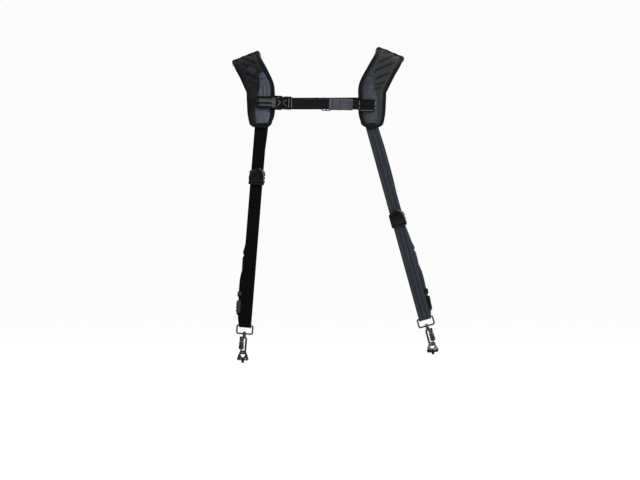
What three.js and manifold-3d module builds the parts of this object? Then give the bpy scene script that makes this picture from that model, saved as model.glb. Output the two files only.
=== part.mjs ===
// Dual camera harness, worn: two padded shoulder pieces, a chest strap across the front, a plain strap
// across the back, and on each side a long webbing loop that carries a ring, a snap hook and a fastener.
// Millimetres, +Z up. The wearer faces -Y, so the wearer's right side lies at -X.
// The origin is midway between the shoulders, at the height where the pads rest on them.

import * as THREE from 'three';
import { mergeVertices } from 'three/addons/utils/BufferGeometryUtils.js';
import Module from 'manifold-3d';

const wasm = await Module();
wasm.setup();

// Clearance between neighbouring pieces
const gap = 0.3;

// Shoulder pads
const padFrontDrop = 143; // shoulder ridge down to the front tail
const padBackDrop = 128; // shoulder ridge down to the back tail
const chestReach = 118; // shoulder line forward to the front tail
const backReach = 112; // shoulder line back to the back tail
const padWidth = 57;
const padThick = 11;
const rimThick = 7; // pad thickness along its bound rim
const rimBand = 4; // width of the rim band that the binding covers
const bindingInset = 0.8; // the binding stops this far short of the band's inner edge
const crownRise = 0.6; // extra height of the front face along its middle
const padSteps = 24; // sections along each pad
const bindingThick = 1.3;
const panelThick = 1.6;

// Webbing
const strapWidth = 25;
const strapThick = 2;
const tailTuck = 0.17; // share of the pad's length that the main strap runs up behind it
const tuckSteps = 4; // sections of that stretch
const legSteps = 10; // sections of the front leg below it
const bellyBow = 5; // how far the front leg bows forward
const chestWebWidth = 19;
const chestWebThick = 1.7;
const elasticWidth = 23;
const elasticThick = 2.2;

// Main strap: the rear leg turns in the adjuster, and its free end hangs back down
const freeEnd = 92;
const stitchedLap = 30; // rear strap doubled above the adjuster

// Hardware on the webbing
const adjusterWidth = 34;
const adjusterHeight = 26;
const adjusterThick = 2.4;
const adjusterBar = 2.4;
const adjusterCorner = 3;
const slotEase = 0.6; // extra width of a slot beside its webbing
const keeperHeight = 9;
const keeperWall = 1.6;
const bumperWidth = 31;
const bumperHeight = 28;
const bumperWall = 2.4;
const leverLength = 33;
const leverThick = 4.2;
const leverPin = 2.6; // radius of the lever's rounded hinge end

// Ring, hook and fastener
const ringWidth = 35;
const ringHeight = 20;
const ringWire = 3.4;
const ringCorner = 2.8;
const bossRadius = 3.8;
const bossHeight = 5;
const rivetHeight = 1.6; // stem's head above the boss
const stemRadius = 2;
const shoulderRadius = 3.6;
const shoulderHeight = 3.2;
const hookWidth = 14; // between the middles of spine and gate
const hookHeight = 32; // between the middles of the top and bottom bars
const hookWire = 4;
const hookCorner = 4;
const noseHeight = 6.6;
const gateRadius = 1.9;
const barrelRadius = 5.1;
const barrelLength = 16;
const barrelSides = 14;
const barrelGrooves = 2;
const grooveDepth = 0.9;
const grooveWidth = 1;
const grooveStart = 2.5; // barrel's top down to the first groove
const groovePitch = 3.4;
const knuckleRadius = 2.3;
const gatePin = 0.8;
const earThick = 1.3;
const eyeWidth = 15;
const eyeThick = 4.5;
const eyeHole = 10;
const eyeTop = 3.6; // material above the hole
const eyeFlare = 3.4; // the eye widens by this much to its base
const eyeCorner = 6.5;
const eyeTurn = 72; // degrees between the eye's plate and the hook's plane
const baseDiameter = 24;
const baseSides = 18;
const baseHeight = 4;
const fastenerDrop = 14.2; // wire middle down to the washer's underside
const washerThick = 1.5;
const washerInset = 0.6; // the washer is this much smaller in radius than the base
const studDiameter = 6.35;
const studLength = 5;

// Chest strap: places along its line from the right slider, as shares of the distance to the left one
const triglideAt = 0.605;
const elasticTo = 0.86;
const sliderLength = 34;
const sliderCorner = 2.5;
const buckleLength = 38;
const buckleHeight = 26;
const buckleThick = 8;
const buckleCorner = 4;
const maleThick = 6;
const windowRadius = 2.2; // round windows of the buckle's male half
const windowLevel = 9;
const triglideHeight = 27;
const triglideThick = 2;
const triglideBar = 2.2;

// Back strap and badge
const backStrapAt = 0.838; // share of the pad's length
const backBow = 6;
const badgeAt = 0.41;
const badgeWidth = 12;
const badgeLength = 17;
const badgeThick = 1.2;
const badgeTurn = -28;

// Loops, measured to the ring's top bar on the right side. The left loop hangs further out and ends higher.
const ringSpan = 147.3; // middle of the body out to the ring
const ringDrop = 543.7; // shoulder ridge down to the ring
const leftSwing = 68.2;
const leftRise = 15.3;

// The two sides of the harness
const sides = [
  {
    name: 'right',
    sign: -1,
    ridgeSpan: 143, // middle of the body out to the pad's middle line on the shoulder
    ridgeLift: 1, // how much higher the pad's ridge lies, because one shoulder is held higher
    tailSpan: 115.7, // the same at the front tail
    backSpan: 115, // the same at the back tail
    ringSpan,
    ringDrop,
    ringReach: 95, // shoulder line forward to the ring's top bar
    hipBow: 11, // how far the rear leg bows out round the hip
    frontBumper: 0.256, // share of the front leg down to the bumper
    keeper: 0.15, // share of the rear leg up from the ring
    rearBumper: 0.088, // the same for its bumper
    sliderLevel: -96, // height of the chest strap's slider
    sliderInset: 8.4, // slider's middle towards the neck from the pad's middle line
    hookTurn: 232, // degrees the hook is turned about its stem
  },
  {
    name: 'left',
    sign: 1,
    ridgeSpan: 142.5,
    ridgeLift: 8,
    tailSpan: 109.2,
    backSpan: 109,
    ringSpan: ringSpan + leftSwing,
    ringDrop: ringDrop - leftRise,
    ringReach: 95,
    hipBow: 13,
    frontBumper: 0.486,
    keeper: 0.13,
    rearBumper: 0.074,
    sliderLevel: -101.5,
    sliderInset: 11.6,
    hookTurn: -52,
  },
];

// Rows from the front tail over the ridge to the back tail. drop and reach are shares of the pad's drop and
// reach at that end, spread goes from the tail (0) to the ridge (1), width is a share of the pad's width,
// slope is the outward lean in degrees and yaw is how far the outer edge turns back.
const padRows = [
  { drop: 1.0, reach: 1.0, spread: 0.0, width: 0.55, slope: 0, yaw: 4 },
  { drop: 0.965, reach: 1.0, spread: 0.0, width: 0.7, slope: 0, yaw: 4 },
  { drop: 0.91, reach: 1.0, spread: 0.0, width: 0.78, slope: 0, yaw: 4 },
  { drop: 0.8, reach: 0.995, spread: 0.0, width: 0.87, slope: 0, yaw: 4 },
  { drop: 0.62, reach: 0.97, spread: 0.01, width: 0.91, slope: 0, yaw: 5 },
  { drop: 0.47, reach: 0.9, spread: 0.02, width: 0.95, slope: 2, yaw: 8 },
  { drop: 0.35, reach: 0.8, spread: 0.27, width: 0.96, slope: 6, yaw: 11 },
  { drop: 0.22, reach: 0.64, spread: 0.63, width: 0.92, slope: 11, yaw: 12 },
  { drop: 0.1, reach: 0.41, spread: 0.96, width: 0.93, slope: 17, yaw: 10 },
  { drop: 0.02, reach: 0.14, spread: 1.11, width: 0.95, slope: 21, yaw: 3 },
  { drop: 0.02, reach: -0.14, spread: 1.11, width: 0.95, slope: 21, yaw: -3 },
  { drop: 0.11, reach: -0.42, spread: 0.92, width: 0.95, slope: 17, yaw: -10 },
  { drop: 0.26, reach: -0.66, spread: 0.52, width: 0.94, slope: 11, yaw: -13 },
  { drop: 0.44, reach: -0.83, spread: 0.16, width: 0.93, slope: 6, yaw: -12 },
  { drop: 0.64, reach: -0.93, spread: 0.02, width: 0.9, slope: 2, yaw: -10 },
  { drop: 0.86, reach: -0.99, spread: 0.0, width: 0.83, slope: 0, yaw: -7 },
  { drop: 0.96, reach: -1.0, spread: 0.0, width: 0.7, slope: 0, yaw: -6 },
  { drop: 1.0, reach: -1.0, spread: 0.0, width: 0.55, slope: 0, yaw: -6 },
];

// Front panel: step counts the pad's own sections from the front tail, inner and outer are shares of the
// pad's half width towards the neck and towards the arm.
const panelRows = [
  { step: 2, inner: 0.7, outer: 0.4 },
  { step: 3, inner: 0.77, outer: 0.42 },
  { step: 4, inner: 0.8, outer: 0.42 },
  { step: 5, inner: 0.8, outer: 0.4 },
  { step: 6, inner: 0.79, outer: 0.32 },
  { step: 7, inner: 0.77, outer: 0.14 },
  { step: 8, inner: 0.74, outer: -0.18 },
  { step: 9, inner: 0.7, outer: -0.56 },
];

// Rear leg from the ring up to the back tail: up, back and bow are shares of its rise, its reach and the
// hip bow. turn counts quarter turns of its face, from the front by way of the arm to the back.
const rearRows = [
  { up: 0.0, back: 0.0, bow: 0.0, turn: 0.0 },
  { up: 0.04, back: 0.05, bow: 0.35, turn: 0.13 },
  { up: 0.13, back: 0.13, bow: 0.55, turn: 0.15 },
  { up: 0.17, back: 0.165, bow: 0.6, turn: 0.16 },
  { up: 0.235, back: 0.22, bow: 0.8, turn: 0.5 },
  { up: 0.3, back: 0.275, bow: 0.97, turn: 0.88 },
  { up: 0.38, back: 0.36, bow: 1.0, turn: 0.9 },
  { up: 0.49, back: 0.48, bow: 0.88, turn: 1.0 },
  { up: 0.61, back: 0.65, bow: 0.7, turn: 1.15 },
  { up: 0.75, back: 0.84, bow: 0.48, turn: 1.45 },
  { up: 0.89, back: 0.96, bow: 0.18, turn: 1.82 },
  { up: 1.0, back: 1.0, bow: 0.0, turn: 2.0 },
];
const adjusterAt = 0.34; // share of the rear leg

const materials = {
  mesh: new THREE.MeshStandardMaterial({ color: 0x2b2c2f, roughness: 0.9, metalness: 0 }),
  binding: new THREE.MeshStandardMaterial({ color: 0x141415, roughness: 0.85, metalness: 0 }),
  panel: new THREE.MeshStandardMaterial({ color: 0x3a3e46, roughness: 0.55, metalness: 0 }),
  webbing: new THREE.MeshStandardMaterial({ color: 0x1b1c1f, roughness: 0.8, metalness: 0 }),
  elastic: new THREE.MeshStandardMaterial({ color: 0x26272a, roughness: 0.6, metalness: 0 }),
  plastic: new THREE.MeshStandardMaterial({ color: 0x0e0e0f, roughness: 0.35, metalness: 0 }),
  metal: new THREE.MeshStandardMaterial({ color: 0x1a1a1c, roughness: 0.3, metalness: 0.9 }),
  rubber: new THREE.MeshStandardMaterial({ color: 0x101010, roughness: 0.9, metalness: 0 }),
};

const up = new THREE.Vector3(0, 0, 1);
const harness = new THREE.Group();

function radians(degrees) {
  return THREE.MathUtils.degToRad(degrees);
}

function vec(x, y, z) {
  return new THREE.Vector3(x, y, z);
}

function addMesh(group, name, geometry, material) {
  const mesh = new THREE.Mesh(geometry, material);
  mesh.name = name;
  group.add(mesh);
  return mesh;
}

// Closed body through rings of points, each ring with the same number of points
function loft(rings, contour, loop = false) {
  const count = rings[0].length;
  const points = rings.flat();
  const faces = [];
  const spans = loop ? rings.length : rings.length - 1;
  for (let r = 0; r < spans; r += 1) {
    const here = r * count;
    const next = ((r + 1) % rings.length) * count;
    for (let k = 0; k < count; k += 1) {
      const m = (k + 1) % count;
      faces.push([here + k, here + m, next + m], [here + k, next + m, next + k]);
    }
  }
  if (!loop) {
    const top = (rings.length - 1) * count;
    for (const [a, b, c] of THREE.ShapeUtils.triangulateShape(contour, [])) {
      faces.push([a, c, b], [top + a, top + b, top + c]);
    }
  }
  let volume = 0;
  for (const [a, b, c] of faces) {
    volume += points[a].dot(points[b].clone().cross(points[c]));
  }
  const order = volume > 0 ? faces.flat() : faces.flatMap(([a, b, c]) => [a, c, b]);
  const geometry = new THREE.BufferGeometry();
  geometry.setAttribute('position', new THREE.Float32BufferAttribute(points.flatMap((p) => [...p]), 3));
  geometry.setIndex(order);
  geometry.computeVertexNormals();
  return geometry;
}

function solid(geometry) {
  const bare = geometry.clone();
  bare.deleteAttribute('normal');
  bare.deleteAttribute('uv');
  const merged = mergeVertices(bare, 1e-4);
  return new wasm.Manifold(new wasm.Mesh({
    numProp: 3,
    vertProperties: new Float32Array(merged.attributes.position.array),
    triVerts: new Uint32Array(merged.index.array),
  }));
}

function geometryOf(manifold) {
  const mesh = manifold.getMesh();
  const geometry = new THREE.BufferGeometry();
  geometry.setAttribute('position', new THREE.BufferAttribute(new Float32Array(mesh.vertProperties), 3));
  geometry.setIndex(new THREE.BufferAttribute(new Uint32Array(mesh.triVerts), 1));
  geometry.computeVertexNormals();
  return geometry;
}

// First shape, joined with the added ones, less the cut ones
function carve(base, added, cut) {
  let result = solid(base);
  for (const piece of added) {
    result = result.add(solid(piece));
  }
  for (const piece of cut) {
    result = result.subtract(solid(piece));
  }
  return geometryOf(result);
}

function block(width, depth, height, x = 0, y = 0, z = 0) {
  return new THREE.BoxGeometry(width, depth, height).translate(x, y, z);
}

// Upright round bar between two heights
function post(radius, low, high, sides = 12, topRadius = radius) {
  const bar = new THREE.CylinderGeometry(topRadius, radius, high - low, sides);
  return bar.rotateX(Math.PI / 2).translate(0, 0, (low + high) / 2);
}

// Round bar along Y, centred at x, z
function crossBar(radius, length, x, z, sides = 10) {
  return new THREE.CylinderGeometry(radius, radius, length, sides).translate(x, 0, z);
}

function roundedRect(width, height, radius) {
  const shape = new THREE.Shape();
  const x = width / 2 - radius;
  const z = height / 2 - radius;
  shape.absarc(x, z, radius, 0, Math.PI / 2);
  shape.absarc(-x, z, radius, Math.PI / 2, Math.PI);
  shape.absarc(-x, -z, radius, Math.PI, 1.5 * Math.PI);
  shape.absarc(x, -z, radius, 1.5 * Math.PI, 2 * Math.PI);
  return shape;
}

// Plate that stands in the XZ plane, its thickness centred on y = 0
function plate(shape, thickness, curveSegments = 3) {
  const geometry = new THREE.ExtrudeGeometry(shape, { depth: thickness, bevelEnabled: false, curveSegments });
  return geometry.rotateX(Math.PI / 2).translate(0, thickness / 2, 0);
}

function column(rows, key, share) {
  const place = share * (rows.length - 1);
  const low = Math.min(Math.floor(place), rows.length - 2);
  return THREE.MathUtils.lerp(rows[low][key], rows[low + 1][key], place - low);
}

// Middle line of one pad
function padCurve(side) {
  const points = padRows.map((row) => {
    const front = row.reach > 0;
    const tail = front ? side.tailSpan : side.backSpan;
    return vec(
      side.sign * THREE.MathUtils.lerp(tail, side.ridgeSpan, row.spread),
      -row.reach * (front ? chestReach : backReach),
      side.ridgeLift * row.spread - row.drop * (front ? padFrontDrop : padBackDrop),
    );
  });
  return new THREE.CatmullRomCurve3(points, false, 'catmullrom', 0.5);
}

function padHalf(share) {
  return (padWidth / 2) * column(padRows, 'width', share);
}

// Middle, outward side, surface normal and half width of a pad at a share of its rows, with the lean of its
// edge there and the distance to the nearer tail
function padFrame(side, share) {
  const curve = side.padLine;
  const middle = curve.getPoint(share);
  const tangent = curve.getTangent(share);
  const slope = radians(column(padRows, 'slope', share));
  const yaw = radians(column(padRows, 'yaw', share));
  const outward = vec(side.sign, Math.tan(yaw), -Math.tan(slope));
  outward.addScaledVector(tangent, -outward.dot(tangent)).normalize();
  const normal = outward.clone().cross(tangent).multiplyScalar(side.sign).normalize();
  const half = padHalf(share);
  const low = Math.max(share - 0.01, 0);
  const high = Math.min(share + 0.01, 1);
  const run = curve.getPoint(high).distanceTo(curve.getPoint(low));
  const taper = Math.cos(Math.atan((padHalf(high) - padHalf(low)) / run));
  const tail = Math.min(middle.distanceTo(curve.getPoint(0)), middle.distanceTo(curve.getPoint(1)));
  return { middle, tangent, outward, normal, half, taper, tail };
}

function padPoint(frame, across, height) {
  return frame.middle.clone()
    .addScaledVector(frame.outward, across)
    .addScaledVector(frame.normal, height);
}

// How far the pad has swelled from its flat rim (0) to its full thickness (1)
function swell(frame, across) {
  const inset = Math.min((frame.half - Math.abs(across)) * frame.taper, frame.tail);
  return THREE.MathUtils.clamp((inset - rimBand) / rimBand, 0, 1);
}

// Height of the pad's crowned front face above its middle layer, at a distance across from its middle line
function crown(frame, across) {
  const dome = 1 - (across / frame.half) ** 2;
  return rimThick / 2 + swell(frame, across) * ((padThick - rimThick) / 2 + crownRise * dome);
}

function backFace(frame, across) {
  return -rimThick / 2 - swell(frame, across) * ((padThick - rimThick) / 2);
}

function padGeometry(side) {
  const rings = [];
  for (let i = 0; i <= padSteps; i += 1) {
    const frame = padFrame(side, i / padSteps);
    const { half } = frame;
    const rim = half - rimBand / frame.taper;
    const shoulder = half - (2 * rimBand) / frame.taper;
    const front = [half, rim, shoulder, shoulder / 2, 0, -shoulder / 2, -shoulder, -rim, -half];
    const back = [-half, -rim, -shoulder, shoulder, rim, half];
    rings.push([
      ...front.map((across) => padPoint(frame, across, crown(frame, across))),
      ...back.map((across) => padPoint(frame, across, backFace(frame, across))),
    ]);
  }
  const contour = rings[0].map((_, k) => {
    const angle = (2 * Math.PI * k) / rings[0].length;
    return new THREE.Vector2(Math.cos(angle), Math.sin(angle));
  });
  return loft(rings, contour);
}

// Channel of binding tape round the whole rim of a pad
function bindingGeometry(side) {
  const stops = [];
  const endSteps = 4;
  for (let i = 0; i <= padSteps; i += 1) {
    stops.push({ share: i / padSteps, across: 1 });
  }
  for (let i = 1; i < endSteps; i += 1) {
    stops.push({ share: 1, across: 1 - (2 * i) / endSteps });
  }
  for (let i = padSteps; i >= 0; i -= 1) {
    stops.push({ share: i / padSteps, across: -1 });
  }
  for (let i = 1; i < endSteps; i += 1) {
    stops.push({ share: 0, across: -1 + (2 * i) / endSteps });
  }
  const places = stops.map(({ share, across }) => {
    const frame = padFrame(side, share);
    return { point: padPoint(frame, across * frame.half, 0), normal: frame.normal };
  });
  const inside = rimThick / 2 + gap;
  const outside = inside + bindingThick;
  const grip = rimBand - bindingInset;
  const section = [
    [gap, inside], [-grip, inside], [-grip, outside], [gap + bindingThick, outside],
    [gap + bindingThick, -outside], [-grip, -outside], [-grip, -inside], [gap, -inside],
  ];
  const rings = places.map(({ point, normal }, i) => {
    const before = places[(i + places.length - 1) % places.length].point;
    const after = places[(i + 1) % places.length].point;
    const tangent = after.clone().sub(before).normalize();
    const outward = tangent.cross(normal).multiplyScalar(side.sign).normalize();
    const level = normal.clone().addScaledVector(outward, -normal.dot(outward)).normalize();
    return section.map(([out, high]) => point.clone()
      .addScaledVector(outward, out)
      .addScaledVector(level, high));
  });
  return loft(rings, null, true);
}

function panelGeometry(side) {
  const slots = 5;
  const least = 0.2; // keeps neighbouring points of a narrow row apart
  const rings = panelRows.map((row) => {
    const frame = padFrame(side, row.step / padSteps);
    const shoulder = frame.half - (2 * rimBand) / frame.taper;
    const inner = -row.inner * frame.half;
    const outer = row.outer * frame.half;
    const knots = [inner, -shoulder, -shoulder / 2, 0, shoulder / 2, outer];
    const places = knots.map((knot, k) => {
      const first = inner + least * k;
      return THREE.MathUtils.clamp(knot, first, outer - least * (slots - k));
    });
    const layer = (height) => places.map((across) => padPoint(frame, across, crown(frame, across) + height));
    return [...layer(gap), ...layer(gap + panelThick).reverse()];
  });
  const contour = [];
  for (let k = 0; k <= slots; k += 1) {
    contour.push(new THREE.Vector2(k, 0));
  }
  for (let k = slots; k >= 0; k -= 1) {
    contour.push(new THREE.Vector2(k, 1));
  }
  return loft(rings, contour);
}

// Flat webbing along a list of stops, each with a point and the direction of the webbing's width
function webbing(stops, width, thick) {
  const rings = stops.map(({ point, across }, i) => {
    const before = stops[Math.max(i - 1, 0)].point;
    const after = stops[Math.min(i + 1, stops.length - 1)].point;
    const tangent = after.clone().sub(before).normalize();
    const side = across.clone().addScaledVector(tangent, -across.dot(tangent)).normalize();
    const face = side.clone().cross(tangent).normalize();
    return [[1, 1], [-1, 1], [-1, -1], [1, -1]].map(([a, b]) => point.clone()
      .addScaledVector(side, (a * width) / 2)
      .addScaledVector(face, (b * thick) / 2));
  });
  const contour = [[1, 1], [-1, 1], [-1, -1], [1, -1]].map(([a, b]) => new THREE.Vector2(a, b));
  return loft(rings, contour);
}

// Half turn of webbing about a bar: from one side of it round to the other, as stops
function halfTurn(centre, from, down, across, steps) {
  const stops = [];
  for (let i = 0; i <= steps; i += 1) {
    const angle = (Math.PI * i) / steps;
    stops.push({
      point: centre.clone()
        .addScaledVector(from, Math.cos(angle))
        .addScaledVector(down, Math.sin(angle)),
      across: across.clone(),
    });
  }
  return stops;
}

// Sizes that several pieces share
const strapLayer = padThick / 2 + gap + strapThick / 2; // pad's middle layer down to webbing tucked behind it
const ringTurn = ringWire / 2 + 2 * gap + strapThick / 2; // webbing's middle round the ring's bar
const foldTurn = Math.hypot(adjusterThick, adjusterBar) / 2 + gap + strapThick / 2; // round an adjuster bar
const tuckEase = 0.4; // extra room for flat webbing behind the curved pad
const backEase = 1.2; // the same for the back strap, which lies across the pad's curve
const adjusterPitch = (adjusterHeight - adjusterBar) / 2;
const doubledOffset = (strapThick + gap) / 2;
const besideBars = [-1.3, -1, -0.5]; // stops beside the adjuster, in pitches from its middle bar
const doubledTop = 2.4; // where the doubled webbing ends below the middle bar, in pitches
const tailBlend = [0.8, 0.97]; // shares of the rear leg over which its webbing turns flat to the pad
const rearTuck = [0.97, 0.94, 0.91]; // shares of the pad that the rear strap lies behind

function legTilt(side) {
  return Math.atan2(side.sign * (side.ringSpan - side.tailSpan), side.ringDrop - padFrontDrop);
}

function ringPoint(side) {
  return vec(side.sign * side.ringSpan, -side.ringReach, -side.ringDrop);
}

function ringAxis(side) {
  return vec(Math.cos(legTilt(side)), 0, Math.sin(legTilt(side)));
}

// Front leg of the main strap: from behind the pad's front tail down to the ring's bar
function frontLeg(side) {
  const stops = [];
  for (let i = tuckSteps; i >= 0; i -= 1) {
    const frame = padFrame(side, (tailTuck * i) / tuckSteps);
    const across = frame.outward.clone().multiplyScalar(side.sign);
    stops.push({ point: padPoint(frame, 0, -strapLayer), across });
  }
  const top = stops.at(-1);
  const bottom = ringPoint(side).add(vec(0, -ringTurn, 0));
  for (let i = 1; i < legSteps; i += 1) {
    const share = i / legSteps;
    const point = top.point.clone().lerp(bottom, share);
    point.y -= bellyBow * Math.sin(Math.PI * share);
    stops.push({ point, across: top.across.clone().lerp(ringAxis(side), share) });
  }
  return stops;
}

// Middle line of the rear leg, from the ring's bar to the pad's back tail
function rearCurve(side) {
  const start = ringPoint(side).add(vec(0, ringTurn, 0));
  const end = padPoint(padFrame(side, 1), 0, -strapLayer - tuckEase);
  const points = rearRows.map((row) => vec(
    THREE.MathUtils.lerp(start.x, end.x, row.up) + side.sign * row.bow * side.hipBow,
    THREE.MathUtils.lerp(start.y, end.y, row.back),
    THREE.MathUtils.lerp(start.z, end.z, row.up),
  ));
  return new THREE.CatmullRomCurve3(points, false, 'catmullrom', 0.5);
}

// Point, upward tangent, width direction and outward face of the rear leg at a share of its rise
function rearFrame(side, share) {
  let row = 0;
  while (row < rearRows.length - 2 && rearRows[row + 1].up < share) {
    row += 1;
  }
  const within = (share - rearRows[row].up) / (rearRows[row + 1].up - rearRows[row].up);
  const place = (row + within) / (rearRows.length - 1);
  const point = side.rearLine.getPoint(place);
  const tangent = side.rearLine.getTangent(place);
  const angle = (Math.PI / 2) * column(rearRows, 'turn', place);
  const across = ringAxis(side).multiplyScalar(Math.cos(angle));
  across.y += side.sign * Math.sin(angle);
  across.addScaledVector(tangent, -across.dot(tangent)).normalize();
  const face = across.clone().cross(tangent).normalize();
  return { point, tangent, across, face };
}

function rearStop(side, share, offset) {
  const frame = rearFrame(side, share);
  return { point: frame.point.addScaledVector(frame.face, offset), across: frame.across };
}

// Stop beside the flat adjuster, at a distance along it from its middle bar and an offset in front of it
function adjusterStop(side, distance, offset) {
  const { point, tangent, across, face } = rearFrame(side, adjusterAt);
  return { point: point.addScaledVector(tangent, distance).addScaledVector(face, offset), across };
}

// Half turn of webbing about an adjuster bar, starting behind it; over is 1 above the bar and -1 below it
function adjusterTurn(side, distance, over) {
  const { tangent, across, face } = rearFrame(side, adjusterAt);
  const bar = adjusterStop(side, distance, 0).point;
  return halfTurn(bar, face.multiplyScalar(-foldTurn), tangent.multiplyScalar(over * foldTurn), across, 8);
}

// The rear leg rises behind the adjuster's lower bars, turns over the middle bar, and hangs back down
function mainStrapGeometry(side) {
  const tilt = legTilt(side);
  const down = vec(Math.sin(tilt), 0, -Math.cos(tilt));
  const front = vec(0, -ringTurn, 0);
  const stops = frontLeg(side);
  stops.push(...halfTurn(ringPoint(side), front, down.multiplyScalar(ringTurn), ringAxis(side), 8));
  const rise = side.rearLine.getLength();
  const barShare = adjusterPitch / rise;
  const freeShare = freeEnd / rise;
  const singleEnd = adjusterAt - freeShare;
  const singleSteps = 8;
  for (let i = 1; i <= singleSteps; i += 1) {
    stops.push(rearStop(side, (singleEnd * i) / singleSteps, 0));
  }
  const doubled = [];
  const doubledSteps = 7;
  const doubledEnd = adjusterAt - doubledTop * barShare;
  for (let i = 0; i <= doubledSteps; i += 1) {
    doubled.push(THREE.MathUtils.lerp(singleEnd + barShare, doubledEnd, i / doubledSteps));
  }
  const atBars = besideBars.map((bars) => bars * adjusterPitch);
  stops.push(...doubled.map((share) => rearStop(side, share, -doubledOffset)));
  stops.push(...atBars.map((distance) => adjusterStop(side, distance, -foldTurn)));
  stops.push(...adjusterTurn(side, 0, 1));
  stops.push(...atBars.reverse().map((distance) => adjusterStop(side, distance, foldTurn)));
  stops.push(...doubled.reverse().map((share) => rearStop(side, share, doubledOffset)));
  return webbing(stops, strapWidth, strapThick);
}

// Short webbing: a stitched lap round the adjuster's top bar, then up to the back of the pad
function rearStrapGeometry(side) {
  const rise = side.rearLine.getLength();
  const barAt = adjusterAt + adjusterPitch / rise;
  const lapShare = stitchedLap / rise;
  const clear = -besideBars[0] * adjusterPitch;
  const stops = [1, 0.75, 0.5].map((share) => rearStop(side, barAt + share * lapShare, -doubledOffset));
  stops.push(adjusterStop(side, clear, -foldTurn), ...adjusterTurn(side, adjusterPitch, -1));
  stops.push(adjusterStop(side, clear, foldTurn));
  stops.push(rearStop(side, barAt + 0.5 * lapShare, doubledOffset));
  const tailAcross = padFrame(side, 1).outward.multiplyScalar(-side.sign);
  const steps = 14;
  for (let i = 0; i <= steps; i += 1) {
    const share = THREE.MathUtils.lerp(barAt + lapShare, 1, i / steps);
    const settle = THREE.MathUtils.smoothstep(share, barAt + lapShare, barAt + 2 * lapShare);
    const stop = rearStop(side, share, doubledOffset * (1 - settle));
    stop.across.lerp(tailAcross, THREE.MathUtils.smoothstep(share, ...tailBlend));
    stops.push(stop);
  }
  for (const share of rearTuck) {
    const frame = padFrame(side, share);
    const across = frame.outward.clone().multiplyScalar(-side.sign);
    stops.push({ point: padPoint(frame, 0, -strapLayer - tuckEase), across });
  }
  return webbing(stops, strapWidth, strapThick);
}

// Group whose X runs across the webbing, Z up along it and -Y away from the body
function seatOn(point, across, tangent) {
  const x = across.clone().normalize();
  const z = tangent.clone().addScaledVector(x, -tangent.dot(x)).normalize();
  const y = z.clone().cross(x);
  const group = new THREE.Group();
  group.applyMatrix4(new THREE.Matrix4().makeBasis(x, y, z).setPosition(point));
  harness.add(group);
  return group;
}

function adjusterGeometry() {
  const frame = roundedRect(adjusterWidth, adjusterHeight, adjusterCorner);
  const slotWidth = strapWidth + 2 * gap + slotEase;
  const slotHeight = adjusterPitch - adjusterBar;
  const slots = [1, -1].map((row) => block(
    slotWidth, 2 * adjusterThick, slotHeight, 0, 0, (row * adjusterPitch) / 2,
  ));
  return carve(plate(frame, adjusterThick), [], slots);
}

// Band round both layers of the rear leg
function keeperGeometry() {
  const inner = 2 * strapThick + 5 * gap;
  const outer = block(strapWidth + 4 * gap + 2 * keeperWall, inner + 2 * keeperWall, keeperHeight);
  return carve(outer, [], [block(strapWidth + 4 * gap, inner, 2 * keeperHeight)]);
}

const bumperDepth = strapThick + 4 * gap + 2 * bumperWall;
const leverSeat = -(bumperDepth / 2 + gap + leverPin);
const leverHinge = -bumperHeight / 2 + leverPin;
const earWidth = 1.8;
const bumperPin = 1;

// Clamp body: a flat sleeve for the webbing with two ears and a pin for its lever
function bumperGeometry() {
  const sleeve = block(bumperWidth, bumperDepth, bumperHeight);
  const ears = [1, -1].map((end) => {
    const x = (end * (bumperWidth - earWidth)) / 2;
    const ear = new THREE.CylinderGeometry(leverPin, leverPin, earWidth, 12).rotateZ(Math.PI / 2);
    const root = -bumperDepth / 4;
    const web = block(earWidth, root - leverSeat, 2 * leverPin, x, (leverSeat + root) / 2, leverHinge);
    return [ear.translate(x, leverSeat, leverHinge), web];
  });
  const pin = new THREE.CylinderGeometry(bumperPin, bumperPin, bumperWidth - earWidth, 10);
  pin.rotateZ(Math.PI / 2).translate(0, leverSeat, leverHinge);
  const slot = block(strapWidth + 4 * gap, strapThick + 4 * gap, 2 * bumperHeight);
  return carve(sleeve, [...ears.flat(), pin], [slot]);
}

// Shield-shaped lever; its own origin is its hinge
function leverGeometry() {
  const half = bumperWidth / 2;
  const neck = half - earWidth - gap;
  const tip = leverLength - leverPin;
  const lip = leverPin + 1; // the shield widens past the ears between these two heights
  const hip = leverPin + 2.5;
  const bulge = half + 0.5;
  const flank = 0.62 * tip;
  const corner = { x: 0.42 * half, y: 0.93 * tip };
  const peak = 1.06 * tip;
  const shape = new THREE.Shape();
  shape.moveTo(-neck, 0);
  shape.lineTo(neck, 0);
  shape.lineTo(neck, lip);
  shape.lineTo(half, hip);
  shape.quadraticCurveTo(bulge, flank, corner.x, corner.y);
  shape.quadraticCurveTo(0, peak, -corner.x, corner.y);
  shape.quadraticCurveTo(-bulge, flank, -half, hip);
  shape.lineTo(-neck, lip);
  const back = leverPin - leverThick / 2;
  const shield = plate(shape, leverThick, 3).translate(0, back, 0);
  const barrel = new THREE.CylinderGeometry(leverPin, leverPin, 2 * neck, 12).rotateZ(Math.PI / 2);
  const bore = new THREE.CylinderGeometry(bumperPin + gap, bumperPin + gap, 3 * neck, 10);
  return carve(shield, [barrel], [bore.rotateZ(Math.PI / 2)]);
}

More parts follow.
